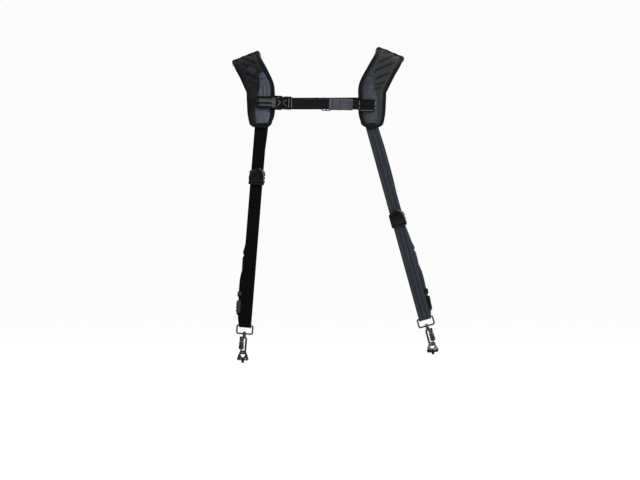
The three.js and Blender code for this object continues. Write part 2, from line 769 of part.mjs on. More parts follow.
// Round bar bent along points in the XZ plane
function bentBar(points, radius, facets, loop = false) {
  const contour = [];
  for (let k = 0; k < facets; k += 1) {
    const angle = (2 * Math.PI * (k + 0.5)) / facets;
    contour.push(new THREE.Vector2(Math.cos(angle), Math.sin(angle)).multiplyScalar(radius));
  }
  const total = points.length;
  const rings = points.map((point, i) => {
    const before = loop ? points[(i + total - 1) % total] : points[Math.max(i - 1, 0)];
    const after = loop ? points[(i + 1) % total] : points[Math.min(i + 1, total - 1)];
    const tangent = after.clone().sub(before).normalize();
    const across = vec(0, 1, 0).cross(tangent).normalize();
    return contour.map(({ x, y }) => point.clone().addScaledVector(across, x).add(vec(0, y, 0)));
  });
  return loft(rings, contour, loop);
}

// Points along straight runs with rounded corners between them
function roundedRun(corners, radius, loop = false) {
  const points = [];
  const steps = 3;
  corners.forEach((corner, i) => {
    if (!loop && (i === 0 || i === corners.length - 1)) {
      points.push(corner.clone());
      return;
    }
    const before = corners[(i + corners.length - 1) % corners.length];
    const after = corners[(i + 1) % corners.length];
    const into = corner.clone().sub(before).normalize();
    const out = after.clone().sub(corner).normalize();
    const start = corner.clone().addScaledVector(into, -radius);
    for (let k = 0; k <= steps; k += 1) {
      const angle = (Math.PI / 2) * (k / steps);
      points.push(start.clone()
        .addScaledVector(into, radius * Math.sin(angle))
        .addScaledVector(out, radius * (1 - Math.cos(angle))));
    }
  });
  return points;
}

// The ring's own origin is the middle of its top bar
const ringDepth = ringHeight - ringWire;

function ringGeometry() {
  const half = (ringWidth - ringWire) / 2;
  const corners = [vec(-half, 0, 0), vec(half, 0, 0), vec(half, 0, -ringDepth), vec(-half, 0, -ringDepth)];
  const loop = bentBar(roundedRun(corners, ringCorner, true), ringWire / 2, 6, true);
  const boss = post(bossRadius, -ringDepth - bossHeight / 2, -ringDepth + bossHeight / 2);
  const bore = post(stemRadius + gap, -ringDepth - bossHeight, -ringDepth + bossHeight);
  return carve(loop, [boss], [bore]);
}

const shoulderTop = -ringDepth - bossHeight / 2 - gap;
const hookTop = shoulderTop - shoulderHeight - hookWire / 2;
const wireLevel = hookTop - hookHeight;
const earRadius = knuckleRadius + 0.3;
const gateHinge = hookTop - hookWire / 2 - gap - knuckleRadius - 0.2;
const noseTop = wireLevel + noseHeight;
const earInside = knuckleRadius + gap;

// Snap hook: riveted stem, open frame with a nose, and two ears with the gate's pin
function hookGeometry() {
  const half = hookWidth / 2;
  const run = [vec(half, 0, hookTop), vec(-half, 0, hookTop), vec(-half, 0, wireLevel)];
  run.push(vec(half, 0, wireLevel), vec(half, 0, noseTop));
  const frame = bentBar(roundedRun(run, hookCorner), hookWire / 2, 8);
  const head = -ringDepth + bossHeight / 2 + gap;
  const stem = post(stemRadius, hookTop, head + rivetHeight / 2);
  const rivet = post(0.9 * shoulderRadius, head, head + rivetHeight, 12, 0.67 * shoulderRadius);
  const shoulder = post(0.83 * shoulderRadius, hookTop, shoulderTop, 12, shoulderRadius);
  const yoke = block(2 * earRadius, 2 * (earInside + earThick), hookWire, half, 0, hookTop);
  const ears = [1, -1].flatMap((end) => {
    const y = end * (earInside + earThick / 2);
    const middle = (gateHinge + hookTop) / 2;
    return [
      crossBar(earRadius, earThick, half, gateHinge).translate(0, y, 0),
      block(2 * earRadius, earThick, hookTop - gateHinge, half, y, middle),
    ];
  });
  const pin = crossBar(gatePin, 2 * earInside + earThick, half, gateHinge, 8);
  return carve(frame, [stem, rivet, shoulder, yoke, ...ears, pin], []);
}

// Gate with its knurled barrel; its own origin is its hinge pin
function gateGeometry() {
  const tip = noseTop + gap - gateHinge;
  const barrelTop = -earRadius - gap;
  const barrel = post(barrelRadius, barrelTop - barrelLength, barrelTop, barrelSides);
  const knuckle = crossBar(knuckleRadius, 2 * knuckleRadius, 0, 0);
  const grooves = [];
  for (let i = 0; i < barrelGrooves; i += 1) {
    const level = barrelTop - grooveStart - groovePitch * i;
    const low = level - grooveWidth;
    const core = post(barrelRadius - grooveDepth, low - grooveWidth, level + grooveWidth, barrelSides);
    grooves.push(carve(post(barrelRadius + grooveWidth, low, level, barrelSides), [], [core]));
  }
  const bore = crossBar(gatePin + gap, 4 * knuckleRadius, 0, 0, 8);
  return carve(post(gateRadius, tip, 0, 12), [barrel, knuckle], [...grooves, bore]);
}

// Fastener; its own origin is the middle of the hook's wire
const washerTop = -fastenerDrop + washerThick;
const baseTop = washerTop + gap + baseHeight;
const holeLevel = -(eyeHole / 2 - hookWire / 2 - gap - 0.2);

function eyeGeometry() {
  const half = eyeWidth / 2;
  const top = holeLevel + eyeHole / 2 + eyeTop;
  const shape = new THREE.Shape();
  const foot = baseTop - baseHeight / 4;
  const inner = half - eyeCorner;
  shape.moveTo(-half - eyeFlare, foot);
  shape.lineTo(half + eyeFlare, foot);
  shape.lineTo(half, top - eyeCorner);
  shape.quadraticCurveTo(half, top, inner, top);
  shape.lineTo(-inner, top);
  shape.quadraticCurveTo(-half, top, -half, top - eyeCorner);
  const hole = new THREE.Path();
  hole.absarc(0, holeLevel, eyeHole / 2, 0, 2 * Math.PI);
  shape.holes.push(hole);
  const base = post(baseDiameter / 2, washerTop + gap, baseTop, baseSides);
  const stud = post(studDiameter / 2, -fastenerDrop - studLength, foot, 12);
  return carve(plate(shape, eyeThick, 8), [base, stud], []);
}

function washerGeometry() {
  const disc = post(baseDiameter / 2 - washerInset, -fastenerDrop, washerTop, baseSides);
  return carve(disc, [], [post(studDiameter / 2 + gap, -2 * fastenerDrop, 0, 12)]);
}

// Chest strap: its line runs from the right slider to the left one, in the plane of the sliders' bars
const barRadius = 1.5;
const chestTurn = barRadius + gap + chestWebThick / 2;
const elasticTurn = barRadius + gap + elasticThick / 2;
const sliderStand = 5.2; // bars' middle plane above the panel
const sliderDepth = sliderStand + barRadius - 2 * gap;
const sliderBar = 8; // slider's middle out to the bar that holds the webbing
const railWidth = 2;
const barEnd = 1; // each webbing bar reaches this far into its frame
const barInset = 0.6; // buckle's end to the bar's surface
const buckleClear = 1.4; // slider's end to the buckle
const longLap = 8; // a longer lap than this is folded back against the webbing
const lapReturn = 6; // distance from the bar at which it lies flat
const triglidePitch = 8.5;
const maleLength = 19;
const prongLength = 12;
const prongHeight = 3.6;
const prongThick = 3;
const prongLevel = 6.6;
const notchDepth = 7;
const notchHeight = 11;
const notchLip = 1; // straight part of the notch at the mouth

function rowAtDrop(height) {
  const drop = -height / padFrontDrop;
  let row = 0;
  while (padRows[row + 1].drop > drop) {
    row += 1;
  }
  const within = (padRows[row].drop - drop) / (padRows[row].drop - padRows[row + 1].drop);
  return (row + within) / (padRows.length - 1);
}

// Bar that holds the chest webbing, at x
function webBar(x) {
  const reach = chestWebWidth / 2 + barEnd;
  return post(barRadius, -reach, reach, 10).translate(x, 0, 0);
}

// Middle of a slider, standing on the front panel of its pad
function sliderSeat(side) {
  const frame = padFrame(side, rowAtDrop(side.sliderLevel));
  const seat = crown(frame, 0) + gap + panelThick + sliderStand;
  return padPoint(frame, -side.sliderInset, seat);
}

function chestLean(side) {
  return padFrame(side, rowAtDrop(side.sliderLevel)).tangent;
}

function sliderGeometry(inward) {
  const inner = chestWebWidth + 2 * gap;
  const window = block(sliderLength - 2 * railWidth - barEnd, 3 * sliderDepth, inner);
  const outer = plate(roundedRect(sliderLength, inner + 2 * railWidth, sliderCorner), sliderDepth);
  const frame = carve(outer.translate(0, (sliderDepth - 2 * barRadius) / 2, 0), [], [window]);
  return carve(frame, [webBar(-inward * sliderBar)], []);
}

// Webbing of the chest strap between two uprights. Each end is plain, or turns back round its bar with a lap.
function chestWeb(from, to, width, thick, turn) {
  const stops = [];
  const across = vec(0, 0, 1);
  if (from.lap) {
    const inner = from.lap > longLap ? -turn + thick + gap : turn;
    stops.push({ point: vec(from.x + from.lap, inner, 0), across });
    if (from.lap > longLap) {
      stops.push({ point: vec(from.x + lapReturn, inner, 0), across });
    }
    stops.push(...halfTurn(vec(from.x, 0, 0), vec(0, turn, 0), vec(-turn, 0, 0), across, 6));
  } else {
    stops.push({ point: vec(from.x, -turn, 0), across });
  }
  if (to.lap) {
    const inner = to.lap > longLap ? -turn + thick + gap : turn;
    stops.push(...halfTurn(vec(to.x, 0, 0), vec(0, -turn, 0), vec(turn, 0, 0), across, 6));
    if (to.lap > longLap) {
      stops.push({ point: vec(to.x - lapReturn, inner, 0), across });
    }
    stops.push({ point: vec(to.x - to.lap, inner, 0), across });
  } else {
    stops.push({ point: vec(to.x, -turn, 0), across });
  }
  return webbing(stops, width, thick);
}

const slotDepth = 3.6;
const reliefDepth = 2 * barRadius + 2;

// Cut for the chest webbing, centred at x
function webSlot(width, x) {
  return block(width, 2 * buckleThick, chestWebWidth + 2 * gap, x, 0, 0);
}

// Male half: frame with a webbing bar, two round windows and two prongs; it starts at x = 0
function buckleMaleGeometry() {
  const body = roundedRect(maleLength, buckleHeight, buckleCorner);
  for (const level of [-windowLevel, windowLevel]) {
    const window = new THREE.Path();
    window.absarc(0.5, level, windowRadius, 0, 2 * Math.PI);
    body.holes.push(window);
  }
  const slot = webSlot(slotDepth, barInset + 2 * barRadius + slotDepth / 2);
  const relief = webSlot(reliefDepth, barRadius);
  const prongRoot = 2;
  const prongMiddle = maleLength + (prongLength - prongRoot) / 2;
  const prongs = [1, -1].map((end) => block(
    prongLength + prongRoot, prongThick, prongHeight, prongMiddle, 0, end * prongLevel,
  ));
  const shell = plate(body, maleThick, 4).translate(maleLength / 2, 0, 0);
  const cut = carve(shell, [], [relief, slot]);
  return carve(cut, [webBar(barRadius + barInset), ...prongs], []);
}

// Female half: housing with a mouth for the prongs, a notch in front and a webbing bar; it starts at x = 0
function buckleFemaleGeometry() {
  const length = buckleLength - maleLength;
  const outline = roundedRect(length, buckleHeight, buckleCorner);
  const shell = plate(outline, buckleThick, 3).translate(length / 2, 0, 0);
  const mouthHeight = 2 * prongLevel + prongHeight + 4 * gap;
  const mouth = block(2 * prongLength + 1, prongThick + 2 * gap, mouthHeight);
  const notchShape = new THREE.Shape([
    new THREE.Vector2(-notchLip, notchHeight / 2),
    new THREE.Vector2(-notchLip, -notchHeight / 2),
    new THREE.Vector2(notchLip, -notchHeight / 2),
    new THREE.Vector2(notchDepth, 0),
    new THREE.Vector2(notchLip, notchHeight / 2),
  ]);
  const notch = plate(notchShape, 2 * buckleThick);
  const barX = length - barRadius - barInset;
  const slot = webSlot(slotDepth, barX - barRadius - slotDepth / 2);
  const relief = webSlot(reliefDepth, length - barRadius);
  const cut = carve(shell, [], [mouth, notch, slot, relief]);
  return carve(cut, [webBar(barX)], []);
}

function triglideGeometry() {
  const frame = plate(roundedRect(2 * triglidePitch + triglideBar, triglideHeight, 3), triglideThick);
  const slots = [1, -1].map((end) => block(
    triglidePitch - triglideBar, 2 * triglideThick, elasticWidth + 2 * gap, (end * triglidePitch) / 2, 0, 0,
  ));
  return carve(frame, [], slots);
}

function addChestStrap() {
  const right = sliderSeat(sides[0]);
  const left = sliderSeat(sides[1]);
  const along = left.clone().sub(right);
  const span = along.length();
  const x = along.normalize();
  const group = seatOn(right, x, chestLean(sides[0]).add(chestLean(sides[1])));
  const maleStart = sliderLength / 2 + buckleClear;
  const femaleStart = maleStart + maleLength + gap;
  const femaleEnd = femaleStart + buckleLength - maleLength;
  const glide = triglideAt * span;
  const elasticEnd = elasticTo * span;
  addMesh(group, 'sternum_slider_right', sliderGeometry(1), materials.plastic);
  addMesh(group, 'sternum_slider_left', sliderGeometry(-1), materials.plastic).position.x = span;
  addMesh(group, 'buckle_male', buckleMaleGeometry(), materials.plastic).position.x = maleStart;
  addMesh(group, 'buckle_female', buckleFemaleGeometry(), materials.plastic).position.x = femaleStart;
  addMesh(group, 'sternum_triglide', triglideGeometry(), materials.plastic).position.x = glide;
  const maleBar = maleStart + barRadius + barInset;
  const femaleBar = femaleEnd - barRadius - barInset;
  const stub = chestWeb(
    { x: -sliderBar, lap: 7 }, { x: maleBar, lap: 3 }, chestWebWidth, chestWebThick, chestTurn,
  );
  addMesh(group, 'sternum_web_right', stub, materials.webbing);
  const middle = chestWeb(
    { x: femaleBar, lap: 24 }, { x: glide, lap: 6 }, chestWebWidth, chestWebThick, chestTurn,
  );
  addMesh(group, 'sternum_web_middle', middle, materials.webbing);
  const elastic = chestWeb(
    { x: glide + triglidePitch, lap: 22 }, { x: elasticEnd }, elasticWidth, elasticThick, elasticTurn,
  );
  addMesh(group, 'sternum_elastic', elastic, materials.elastic);
  const last = chestWeb(
    { x: elasticEnd + gap }, { x: span + sliderBar, lap: 7 }, chestWebWidth, chestWebThick, chestTurn,
  );
  addMesh(group, 'sternum_web_left', last, materials.webbing);
}

// Plain strap tucked under the backs of both pads
function backStrapGeometry() {
  const ends = sides.map((side) => {
    const frame = padFrame(side, backStrapAt);
    const across = frame.tangent.clone().negate();
    return [0.5, 0, -0.5, -1].map((share) => ({
      point: padPoint(frame, share * frame.half, -strapLayer - backEase),
      across: across.clone(),
    }));
  });
  const [right, left] = ends;
  const stops = [...right];
  const steps = 8;
  for (let i = 1; i < steps; i += 1) {
    const share = i / steps;
    const point = right.at(-1).point.clone().lerp(left.at(-1).point, share);
    point.y += backBow * Math.sin(Math.PI * share);
    stops.push({ point, across: right[0].across.clone().lerp(left[0].across, share) });
  }
  stops.push(...left.reverse());
  return webbing(stops, strapWidth, strapThick);
}

function addBadge(side) {
  const frame = padFrame(side, badgeAt);
  const height = crown(frame, badgeWidth / 2) + gap + badgeThick / 2;
  const group = seatOn(
    padPoint(frame, 0, height),
    frame.outward.clone().multiplyScalar(side.sign),
    frame.tangent,
  );
  const badge = plate(roundedRect(badgeWidth, badgeLength, 2), badgeThick);
  addMesh(group, 'pad_badge', badge, materials.panel).rotation.y = radians(badgeTurn);
}

function addHardware(side) {
  const ring = new THREE.Group();
  ring.position.copy(ringPoint(side));
  ring.rotation.y = -legTilt(side);
  harness.add(ring);
  addMesh(ring, `swivel_ring_${side.name}`, ringGeometry(), materials.metal);
  const hook = new THREE.Group();
  hook.rotation.z = radians(side.hookTurn);
  ring.add(hook);
  addMesh(hook, `hook_${side.name}`, hookGeometry(), materials.metal);
  const gate = addMesh(hook, `hook_gate_${side.name}`, gateGeometry(), materials.metal);
  gate.position.set(hookWidth / 2, 0, gateHinge);
  harness.updateMatrixWorld(true);
  const plumb = up.clone().negate().transformDirection(hook.matrixWorld.clone().invert());
  const wire = new THREE.Group();
  wire.position.z = wireLevel;
  wire.rotation.x = Math.atan2(plumb.y, -plumb.z);
  hook.add(wire);
  const fastener = new THREE.Group();
  fastener.rotation.z = side.sign * radians(eyeTurn);
  wire.add(fastener);
  addMesh(fastener, `fastener_eye_${side.name}`, eyeGeometry(), materials.metal);
  addMesh(fastener, `fastener_washer_${side.name}`, washerGeometry(), materials.rubber);
}

function addBumper(name, point, across, tangent) {
  const group = seatOn(point, across, tangent);
  addMesh(group, name, bumperGeometry(), materials.plastic);
  const lever = addMesh(group, name.replace('bumper', 'bumper_lever'), leverGeometry(), materials.plastic);
  lever.position.set(0, leverSeat, leverHinge);
}

function addSide(side) {
  side.padLine = padCurve(side);
  side.rearLine = rearCurve(side);
  addMesh(harness, `shoulder_pad_${side.name}`, padGeometry(side), materials.mesh);
  addMesh(harness, `pad_binding_${side.name}`, bindingGeometry(side), materials.binding);
  addMesh(harness, `pad_panel_${side.name}`, panelGeometry(side), materials.panel);
  addMesh(harness, `main_strap_${side.name}`, mainStrapGeometry(side), materials.webbing);
  addMesh(harness, `rear_strap_${side.name}`, rearStrapGeometry(side), materials.webbing);
  const adjuster = rearFrame(side, adjusterAt);
  const adjusterSeat = seatOn(adjuster.point, adjuster.across, adjuster.tangent);
  addMesh(adjusterSeat, `adjuster_${side.name}`, adjusterGeometry(), materials.plastic);
  const keeper = rearFrame(side, side.keeper);
  const keeperSeat = seatOn(keeper.point, keeper.across, keeper.tangent);
  addMesh(keeperSeat, `strap_keeper_${side.name}`, keeperGeometry(), materials.plastic);
  const rear = rearFrame(side, side.rearBumper);
  addBumper(`rear_bumper_${side.name}`, rear.point, rear.across.negate(), rear.tangent);
  const leg = frontLeg(side);
  const place = tuckSteps + legSteps * side.frontBumper;
  const low = leg[Math.floor(place)];
  const high = leg[Math.floor(place) + 1];
  const point = low.point.clone().lerp(high.point, place % 1);
  const rise = low.point.clone().sub(high.point).normalize();
  const across = low.across.clone().lerp(high.across, place % 1);
  across.addScaledVector(rise, -across.dot(rise));
  addBumper(`front_bumper_${side.name}`, point, across, rise);
  addHardware(side);
}

sides.forEach(addSide);
addChestStrap();
addMesh(harness, 'back_strap', backStrapGeometry(), materials.webbing);
addBadge(sides[0]);

export default harness;
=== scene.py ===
# %% [markdown]
# # A dual camera harness in Blender
# The harness is two padded shoulder pieces, a buckled chest strap and a long webbing loop on each side
# that carries a ring, a snap hook and a fastener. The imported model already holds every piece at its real
# size. This lesson dresses it: soft pieces are modelled again as cloth and foam, hard pieces get rounded
# edges, and every surface gets a procedural finish. Lengths are millimetres until a mesh is made.

# %% Load the frame
import math
from collections import namedtuple
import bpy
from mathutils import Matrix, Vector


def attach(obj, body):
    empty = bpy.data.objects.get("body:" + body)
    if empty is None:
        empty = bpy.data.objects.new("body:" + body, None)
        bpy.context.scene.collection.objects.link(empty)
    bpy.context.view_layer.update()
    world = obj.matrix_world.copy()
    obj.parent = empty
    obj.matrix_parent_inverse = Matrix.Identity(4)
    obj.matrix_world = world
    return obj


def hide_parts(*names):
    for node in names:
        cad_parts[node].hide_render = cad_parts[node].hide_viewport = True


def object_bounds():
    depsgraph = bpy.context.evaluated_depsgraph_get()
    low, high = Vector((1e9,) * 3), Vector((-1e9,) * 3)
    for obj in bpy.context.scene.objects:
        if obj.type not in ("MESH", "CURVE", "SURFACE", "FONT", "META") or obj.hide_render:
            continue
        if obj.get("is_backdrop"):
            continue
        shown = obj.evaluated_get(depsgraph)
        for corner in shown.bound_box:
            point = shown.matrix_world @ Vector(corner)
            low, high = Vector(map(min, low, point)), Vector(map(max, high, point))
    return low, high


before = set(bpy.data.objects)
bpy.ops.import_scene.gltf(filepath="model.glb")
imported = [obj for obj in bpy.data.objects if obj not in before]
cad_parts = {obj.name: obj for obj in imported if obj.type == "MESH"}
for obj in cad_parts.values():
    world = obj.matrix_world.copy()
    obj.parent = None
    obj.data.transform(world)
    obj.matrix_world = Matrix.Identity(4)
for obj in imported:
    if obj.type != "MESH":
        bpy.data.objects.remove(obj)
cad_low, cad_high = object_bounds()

from types import SimpleNamespace

import bmesh
import bpy
import numpy as np
from mathutils import Matrix, Vector
from mathutils.bvhtree import BVHTree

# %% [markdown]
# ## Camera, floor and light
# The harness is seen straight from the front, from far away, so its two sides look equally large. A long
# lens does that. Black cloth only looks black when little light comes from around it, so the world gives
# less light than the camera sees of it, and the floor does the same. Both look equally pale, so no
# horizon cuts the picture. Large soft area lights stand in for studio boxes: a cool one from the right,
# a weaker one from the upper left, and one from behind for the far sides.

# %% Stage
MM = 0.001
PICTURE_WIDTH = 1290  # millimetres that the picture's width spans at the front of the harness
LENS = 250
SENSOR = 36
FRONT_PLANE = -115  # where the front of the harness lies along Y
AIM = (4, -371)  # X and Z that the middle of the picture shows
FLOOR_DROP = 70  # floor below the lowest point of the harness
AMBIENT = 0.2  # light that comes from all around
PALE = 0.97  # how bright the world and the far floor look
FLOOR_COLOR = 0.86
FLOOR_HALF = 30  # metres from the middle of the floor to its edge


def add_camera():
    data = bpy.data.cameras.new("camera")
    data.lens = LENS
    data.sensor_width = SENSOR
    camera = bpy.data.objects.new("camera", data)
    distance = PICTURE_WIDTH * LENS / SENSOR
    camera.location = Vector((AIM[0], FRONT_PLANE - distance, AIM[1])) * MM
    camera.rotation_euler = (math.pi / 2, 0, 0)
    bpy.context.scene.collection.objects.link(camera)
    bpy.context.scene.camera = camera
    return distance


def add_light(name, place, energy, size, color):
    data = bpy.data.lights.new(name, "AREA")
    data.energy = energy
    data.size = size
    data.color = color
    light = bpy.data.objects.new(name, data)
    light.location = place
    middle = (cad_low + cad_high) / 2
    light.rotation_euler = (middle - light.location).to_track_quat("-Z", "Y").to_euler()
    bpy.context.scene.collection.objects.link(light)


def add_floor():
    """Pale floor that shows its own soft light to the camera alone."""
    size = FLOOR_HALF
    z = cad_low.z - FLOOR_DROP * MM
    mesh = bpy.data.meshes.new("floor")
    corners = [(-size, -size, z), (size, -size, z), (size, size, z), (-size, size, z)]
    mesh.from_pydata(corners, [], [(0, 1, 2, 3)])
    floor = bpy.data.objects.new("floor", mesh)
    material = bpy.data.materials.new("pale_floor")
    material.use_nodes = True
    tree = material.node_tree
    shader = tree.nodes["Principled BSDF"]
    shader.inputs["Base Color"].default_value = (FLOOR_COLOR, FLOOR_COLOR, FLOOR_COLOR, 1)
    shader.inputs["Roughness"].default_value = 0.9
    path = tree.nodes.new("ShaderNodeLightPath")
    glow = tree.nodes.new("ShaderNodeMath")
    glow.operation = "MULTIPLY"
    glow.inputs[1].default_value = PALE - AMBIENT * FLOOR_COLOR
    tree.links.new(path.outputs["Is Camera Ray"], glow.inputs[0])
    tree.links.new(glow.outputs[0], shader.inputs["Emission Strength"])
    shader.inputs["Emission Color"].default_value = (1, 1, 1, 1)
    mesh.materials.append(material)
    bpy.context.scene.collection.objects.link(floor)
    floor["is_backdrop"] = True


def add_world():
    world = bpy.data.worlds.new("studio")
    world.use_nodes = True
    tree = world.node_tree
    path = tree.nodes.new("ShaderNodeLightPath")
    strength = tree.nodes.new("ShaderNodeMapRange")
    strength.inputs["To Min"].default_value = AMBIENT
    strength.inputs["To Max"].default_value = PALE
    tree.links.new(path.outputs["Is Camera Ray"], strength.inputs["Value"])
    tree.links.new(strength.outputs[0], tree.nodes["Background"].inputs["Strength"])
    tree.nodes["Background"].inputs["Color"].default_value = (1, 1, 1, 1)
    bpy.context.scene.world = world


print("camera distance", round(add_camera()), "mm")
add_floor()
add_light("key", (1.9, -1.7, 0.7), 44, 1.1, (0.93, 0.96, 1.0))
add_light("fill", (-1.5, -2.0, 1.0), 17, 1.3, (1.0, 0.98, 0.96))
add_light("back", (0.5, 2.0, 1.3), 26, 1.6, (1.0, 1.0, 1.0))
add_world()
bpy.context.scene.view_settings.view_transform = "Standard"

# %% [markdown]
# ## Curves and frames
# Every long piece follows a smooth curve through a short table of rows. A Catmull-Rom curve is the right
# one: it passes through its rows, so the table reads like measurements. The same curve smooths the other
# columns of a table, such as a width.

# %% Curve helpers
def unit(v):
    return v / np.linalg.norm(v)


def spline(rows, share):
    """Value of a Catmull-Rom curve through rows, with share from 0 at the first to 1 at the last."""
    place = min(max(share, 0.0), 1.0) * (len(rows) - 1)
    i = min(int(place), len(rows) - 2)
    w = place - i
    a, b = rows[i], rows[i + 1]
    before = rows[i - 1] if i > 0 else 2 * a - b
    after = rows[i + 2] if i + 2 < len(rows) else 2 * b - a
    leave, arrive = (b - before) / 2, (after - a) / 2
    return a + w * leave + w * w * (3 * (b - a) - 2 * leave - arrive) + w**3 * (2 * (a - b) + leave + arrive)


def heading(rows, share):
    """Direction of the curve through rows at a share."""
    step = 0.0005
    return unit(spline(rows, min(share + step, 1)) - spline(rows, max(share - step, 0)))


def runs_along(points):
    """Distance along a line of points, at each of them."""
    return np.concatenate([[0], np.cumsum(np.linalg.norm(np.diff(points, axis=0), axis=1))])


def columns(rows):
    return {key: np.array([getattr(row, key) for row in rows], float) for key in rows[0]._fields}


def smoothstep(value, low, high):
    t = np.clip((value - low) / (high - low), 0, 1)
    return t * t * (3 - 2 * t)


# %% The two sides of the harness
GAP = 0.3
SIDES = [
    SimpleNamespace(
        name="right", sign=-1, ridge_span=143, ridge_lift=1, tail_span=115.7, back_span=115,
        ring_span=147.3, ring_drop=543.7, ring_reach=95, hip_bow=11, front_bumper=0.256, keeper=0.15,
        rear_bumper=0.088, slider_level=-96, slider_inset=8.4, hook_turn=232,
    ),
    SimpleNamespace(
        name="left", sign=1, ridge_span=142.5, ridge_lift=8, tail_span=109.2, back_span=109,
        ring_span=215.5, ring_drop=528.4, ring_reach=95, hip_bow=13, front_bumper=0.486, keeper=0.13,
        rear_bumper=0.074, slider_level=-101.5, slider_inset=11.6, hook_turn=-52,
    ),
]
PAD_FRONT_DROP = 143
PAD_BACK_DROP = 128
CHEST_REACH = 118
BACK_REACH = 112
PAD_WIDTH = 57
PAD_THICK = 11
RIM_THICK = 7
RIM_BAND = 4
CROWN_RISE = 0.6
PAD_CORNER = 7  # radius of the tails' corners
PadRow = namedtuple("PadRow", "drop reach spread width slope yaw")
PAD_ROWS = [
    PadRow(1.0, 1.0, 0.0, 0.55, 0, 4),
    PadRow(0.965, 1.0, 0.0, 0.7, 0, 4),
    PadRow(0.91, 1.0, 0.0, 0.78, 0, 4),
    PadRow(0.8, 0.995, 0.0, 0.87, 0, 4),
    PadRow(0.62, 0.97, 0.01, 0.91, 0, 5),
    PadRow(0.47, 0.9, 0.02, 0.95, 2, 8),
    PadRow(0.35, 0.8, 0.27, 0.96, 6, 11),
    PadRow(0.22, 0.64, 0.63, 0.92, 11, 12),
    PadRow(0.1, 0.41, 0.96, 0.93, 17, 10),
    PadRow(0.02, 0.14, 1.11, 0.95, 21, 3),
    PadRow(0.02, -0.14, 1.11, 0.95, 21, -3),
    PadRow(0.11, -0.42, 0.92, 0.95, 17, -10),
    PadRow(0.26, -0.66, 0.52, 0.94, 11, -13),
    PadRow(0.44, -0.83, 0.16, 0.93, 6, -12),
    PadRow(0.64, -0.93, 0.02, 0.9, 2, -10),
    PadRow(0.86, -0.99, 0.0, 0.83, 0, -7),
    PadRow(0.96, -1.0, 0.0, 0.7, 0, -6),
    PadRow(1.0, -1.0, 0.0, 0.55, 0, -6),
]
PAD_COLUMNS = columns(PAD_ROWS)


def pad_line(side):
    """Middle line of a pad, one point for each row."""
    points = []
    for row in PAD_ROWS:
        front = row.reach > 0
        tail = side.tail_span if front else side.back_span
        points.append([
            side.sign * (tail + (side.ridge_span - tail) * row.spread),
            -row.reach * (CHEST_REACH if front else BACK_REACH),
            side.ridge_lift * row.spread - row.drop * (PAD_FRONT_DROP if front else PAD_BACK_DROP),
        ])
    return np.array(points)


def pad_frame(side, share):
    """Middle, tangent, outward side, surface normal and half width of a pad at a share of its rows."""
    middle = spline(side.line, share)
    tangent = heading(side.line, share)
    slope = math.radians(spline(PAD_COLUMNS["slope"], share))
    yaw = math.radians(spline(PAD_COLUMNS["yaw"], share))
    outward = np.array([side.sign, math.tan(yaw), -math.tan(slope)])
    outward = unit(outward - (outward @ tangent) * tangent)
    normal = unit(np.cross(outward, tangent) * side.sign)
    half = PAD_WIDTH / 2 * spline(PAD_COLUMNS["width"], share)
    return SimpleNamespace(middle=middle, tangent=tangent, outward=outward, normal=normal, half=half)


def pad_point(at, across, height):
    return at.middle + across * at.outward + height * at.normal


for side in SIDES:
    side.line = pad_line(side)
    side.shares = np.linspace(0, 1, 601)
    places = np.array([spline(side.line, share) for share in side.shares])
    side.runs = runs_along(places)
    side.length = side.runs[-1]
    print(side.name, "pad is", round(side.length), "mm long")


def share_at(side, run):
    """Share of the pad's rows at a run, the distance along it from its front tail."""
    return float(np.interp(run, side.runs, side.shares))


def run_at_level(side, level):
    """Run at which the front of the pad's middle line is at that height."""
    front = side.shares < 0.5
    heights = np.array([spline(side.line, share)[2] for share in side.shares[front]])
    return float(np.interp(level, heights, side.runs[front]))


def rim_half(side, run, at):
    """Half width of the pad with the round corners of its tails."""
    tail = min(run, side.length - run)
    if tail >= PAD_CORNER:
        return at.half
    return at.half - PAD_CORNER + math.sqrt(PAD_CORNER**2 - (PAD_CORNER - tail) ** 2)


# %% [markdown]
# ## Making meshes
# Three shapes make almost all of the harness. A loft joins rings of points into a closed body, a lathe is
# a loft round an axis, and a plate is a flat outline with holes. Blender's own 2D curves make the plates,
# because they fill an outline with holes and round its edges in one step.

# %% Shapes
class Shape:
    """Points in millimetres and faces, with one colour coordinate for each point."""

    def __init__(self):
        self.points = []
        self.faces = []
        self.cloth = []

    def add(self, points, faces, cloth=None):
        start = len(self.points)
        self.points.extend(np.asarray(points, float))
        self.faces.extend(tuple(start + k for k in face) for face in faces)
        self.cloth.extend(cloth if cloth is not None else np.zeros((len(points), 3)))
        return self

    def join(self, other, matrix=None):
        points = np.array(other.points)
        if matrix is not None:
            matrix = np.array(matrix)
            points = points @ matrix[:3, :3].T + matrix[:3, 3]
        return self.add(points, other.faces, other.cloth)


def loft(rings, cloth=None, closed=False):
    """Closed body through rings that have the same number of points each."""
    count = len(rings[0])
    faces = []
    spans = len(rings) if closed else len(rings) - 1
    for r in range(spans):
        here, there = r * count, (r + 1) % len(rings) * count
        for k in range(count):
            m = (k + 1) % count
            faces.append((here + k, here + m, there + m, there + k))
    if not closed:
        faces.append(tuple(range(count))[::-1])
        faces.append(tuple((len(rings) - 1) * count + k for k in range(count)))
    flat = None if cloth is None else np.concatenate(cloth)
    return Shape().add(np.concatenate(rings), faces, flat)


def lathe(profile, sides=32, closed=False):
    """Round body about Z through rows of radius and height. A closed profile makes a ring."""
    angles = np.arange(sides) * 2 * math.pi / sides
    rim = np.stack([np.cos(angles), np.sin(angles)], axis=1)
    rings = [np.column_stack([rim * radius, np.full(sides, height)]) for radius, height in profile]
    return loft(rings, closed=closed)


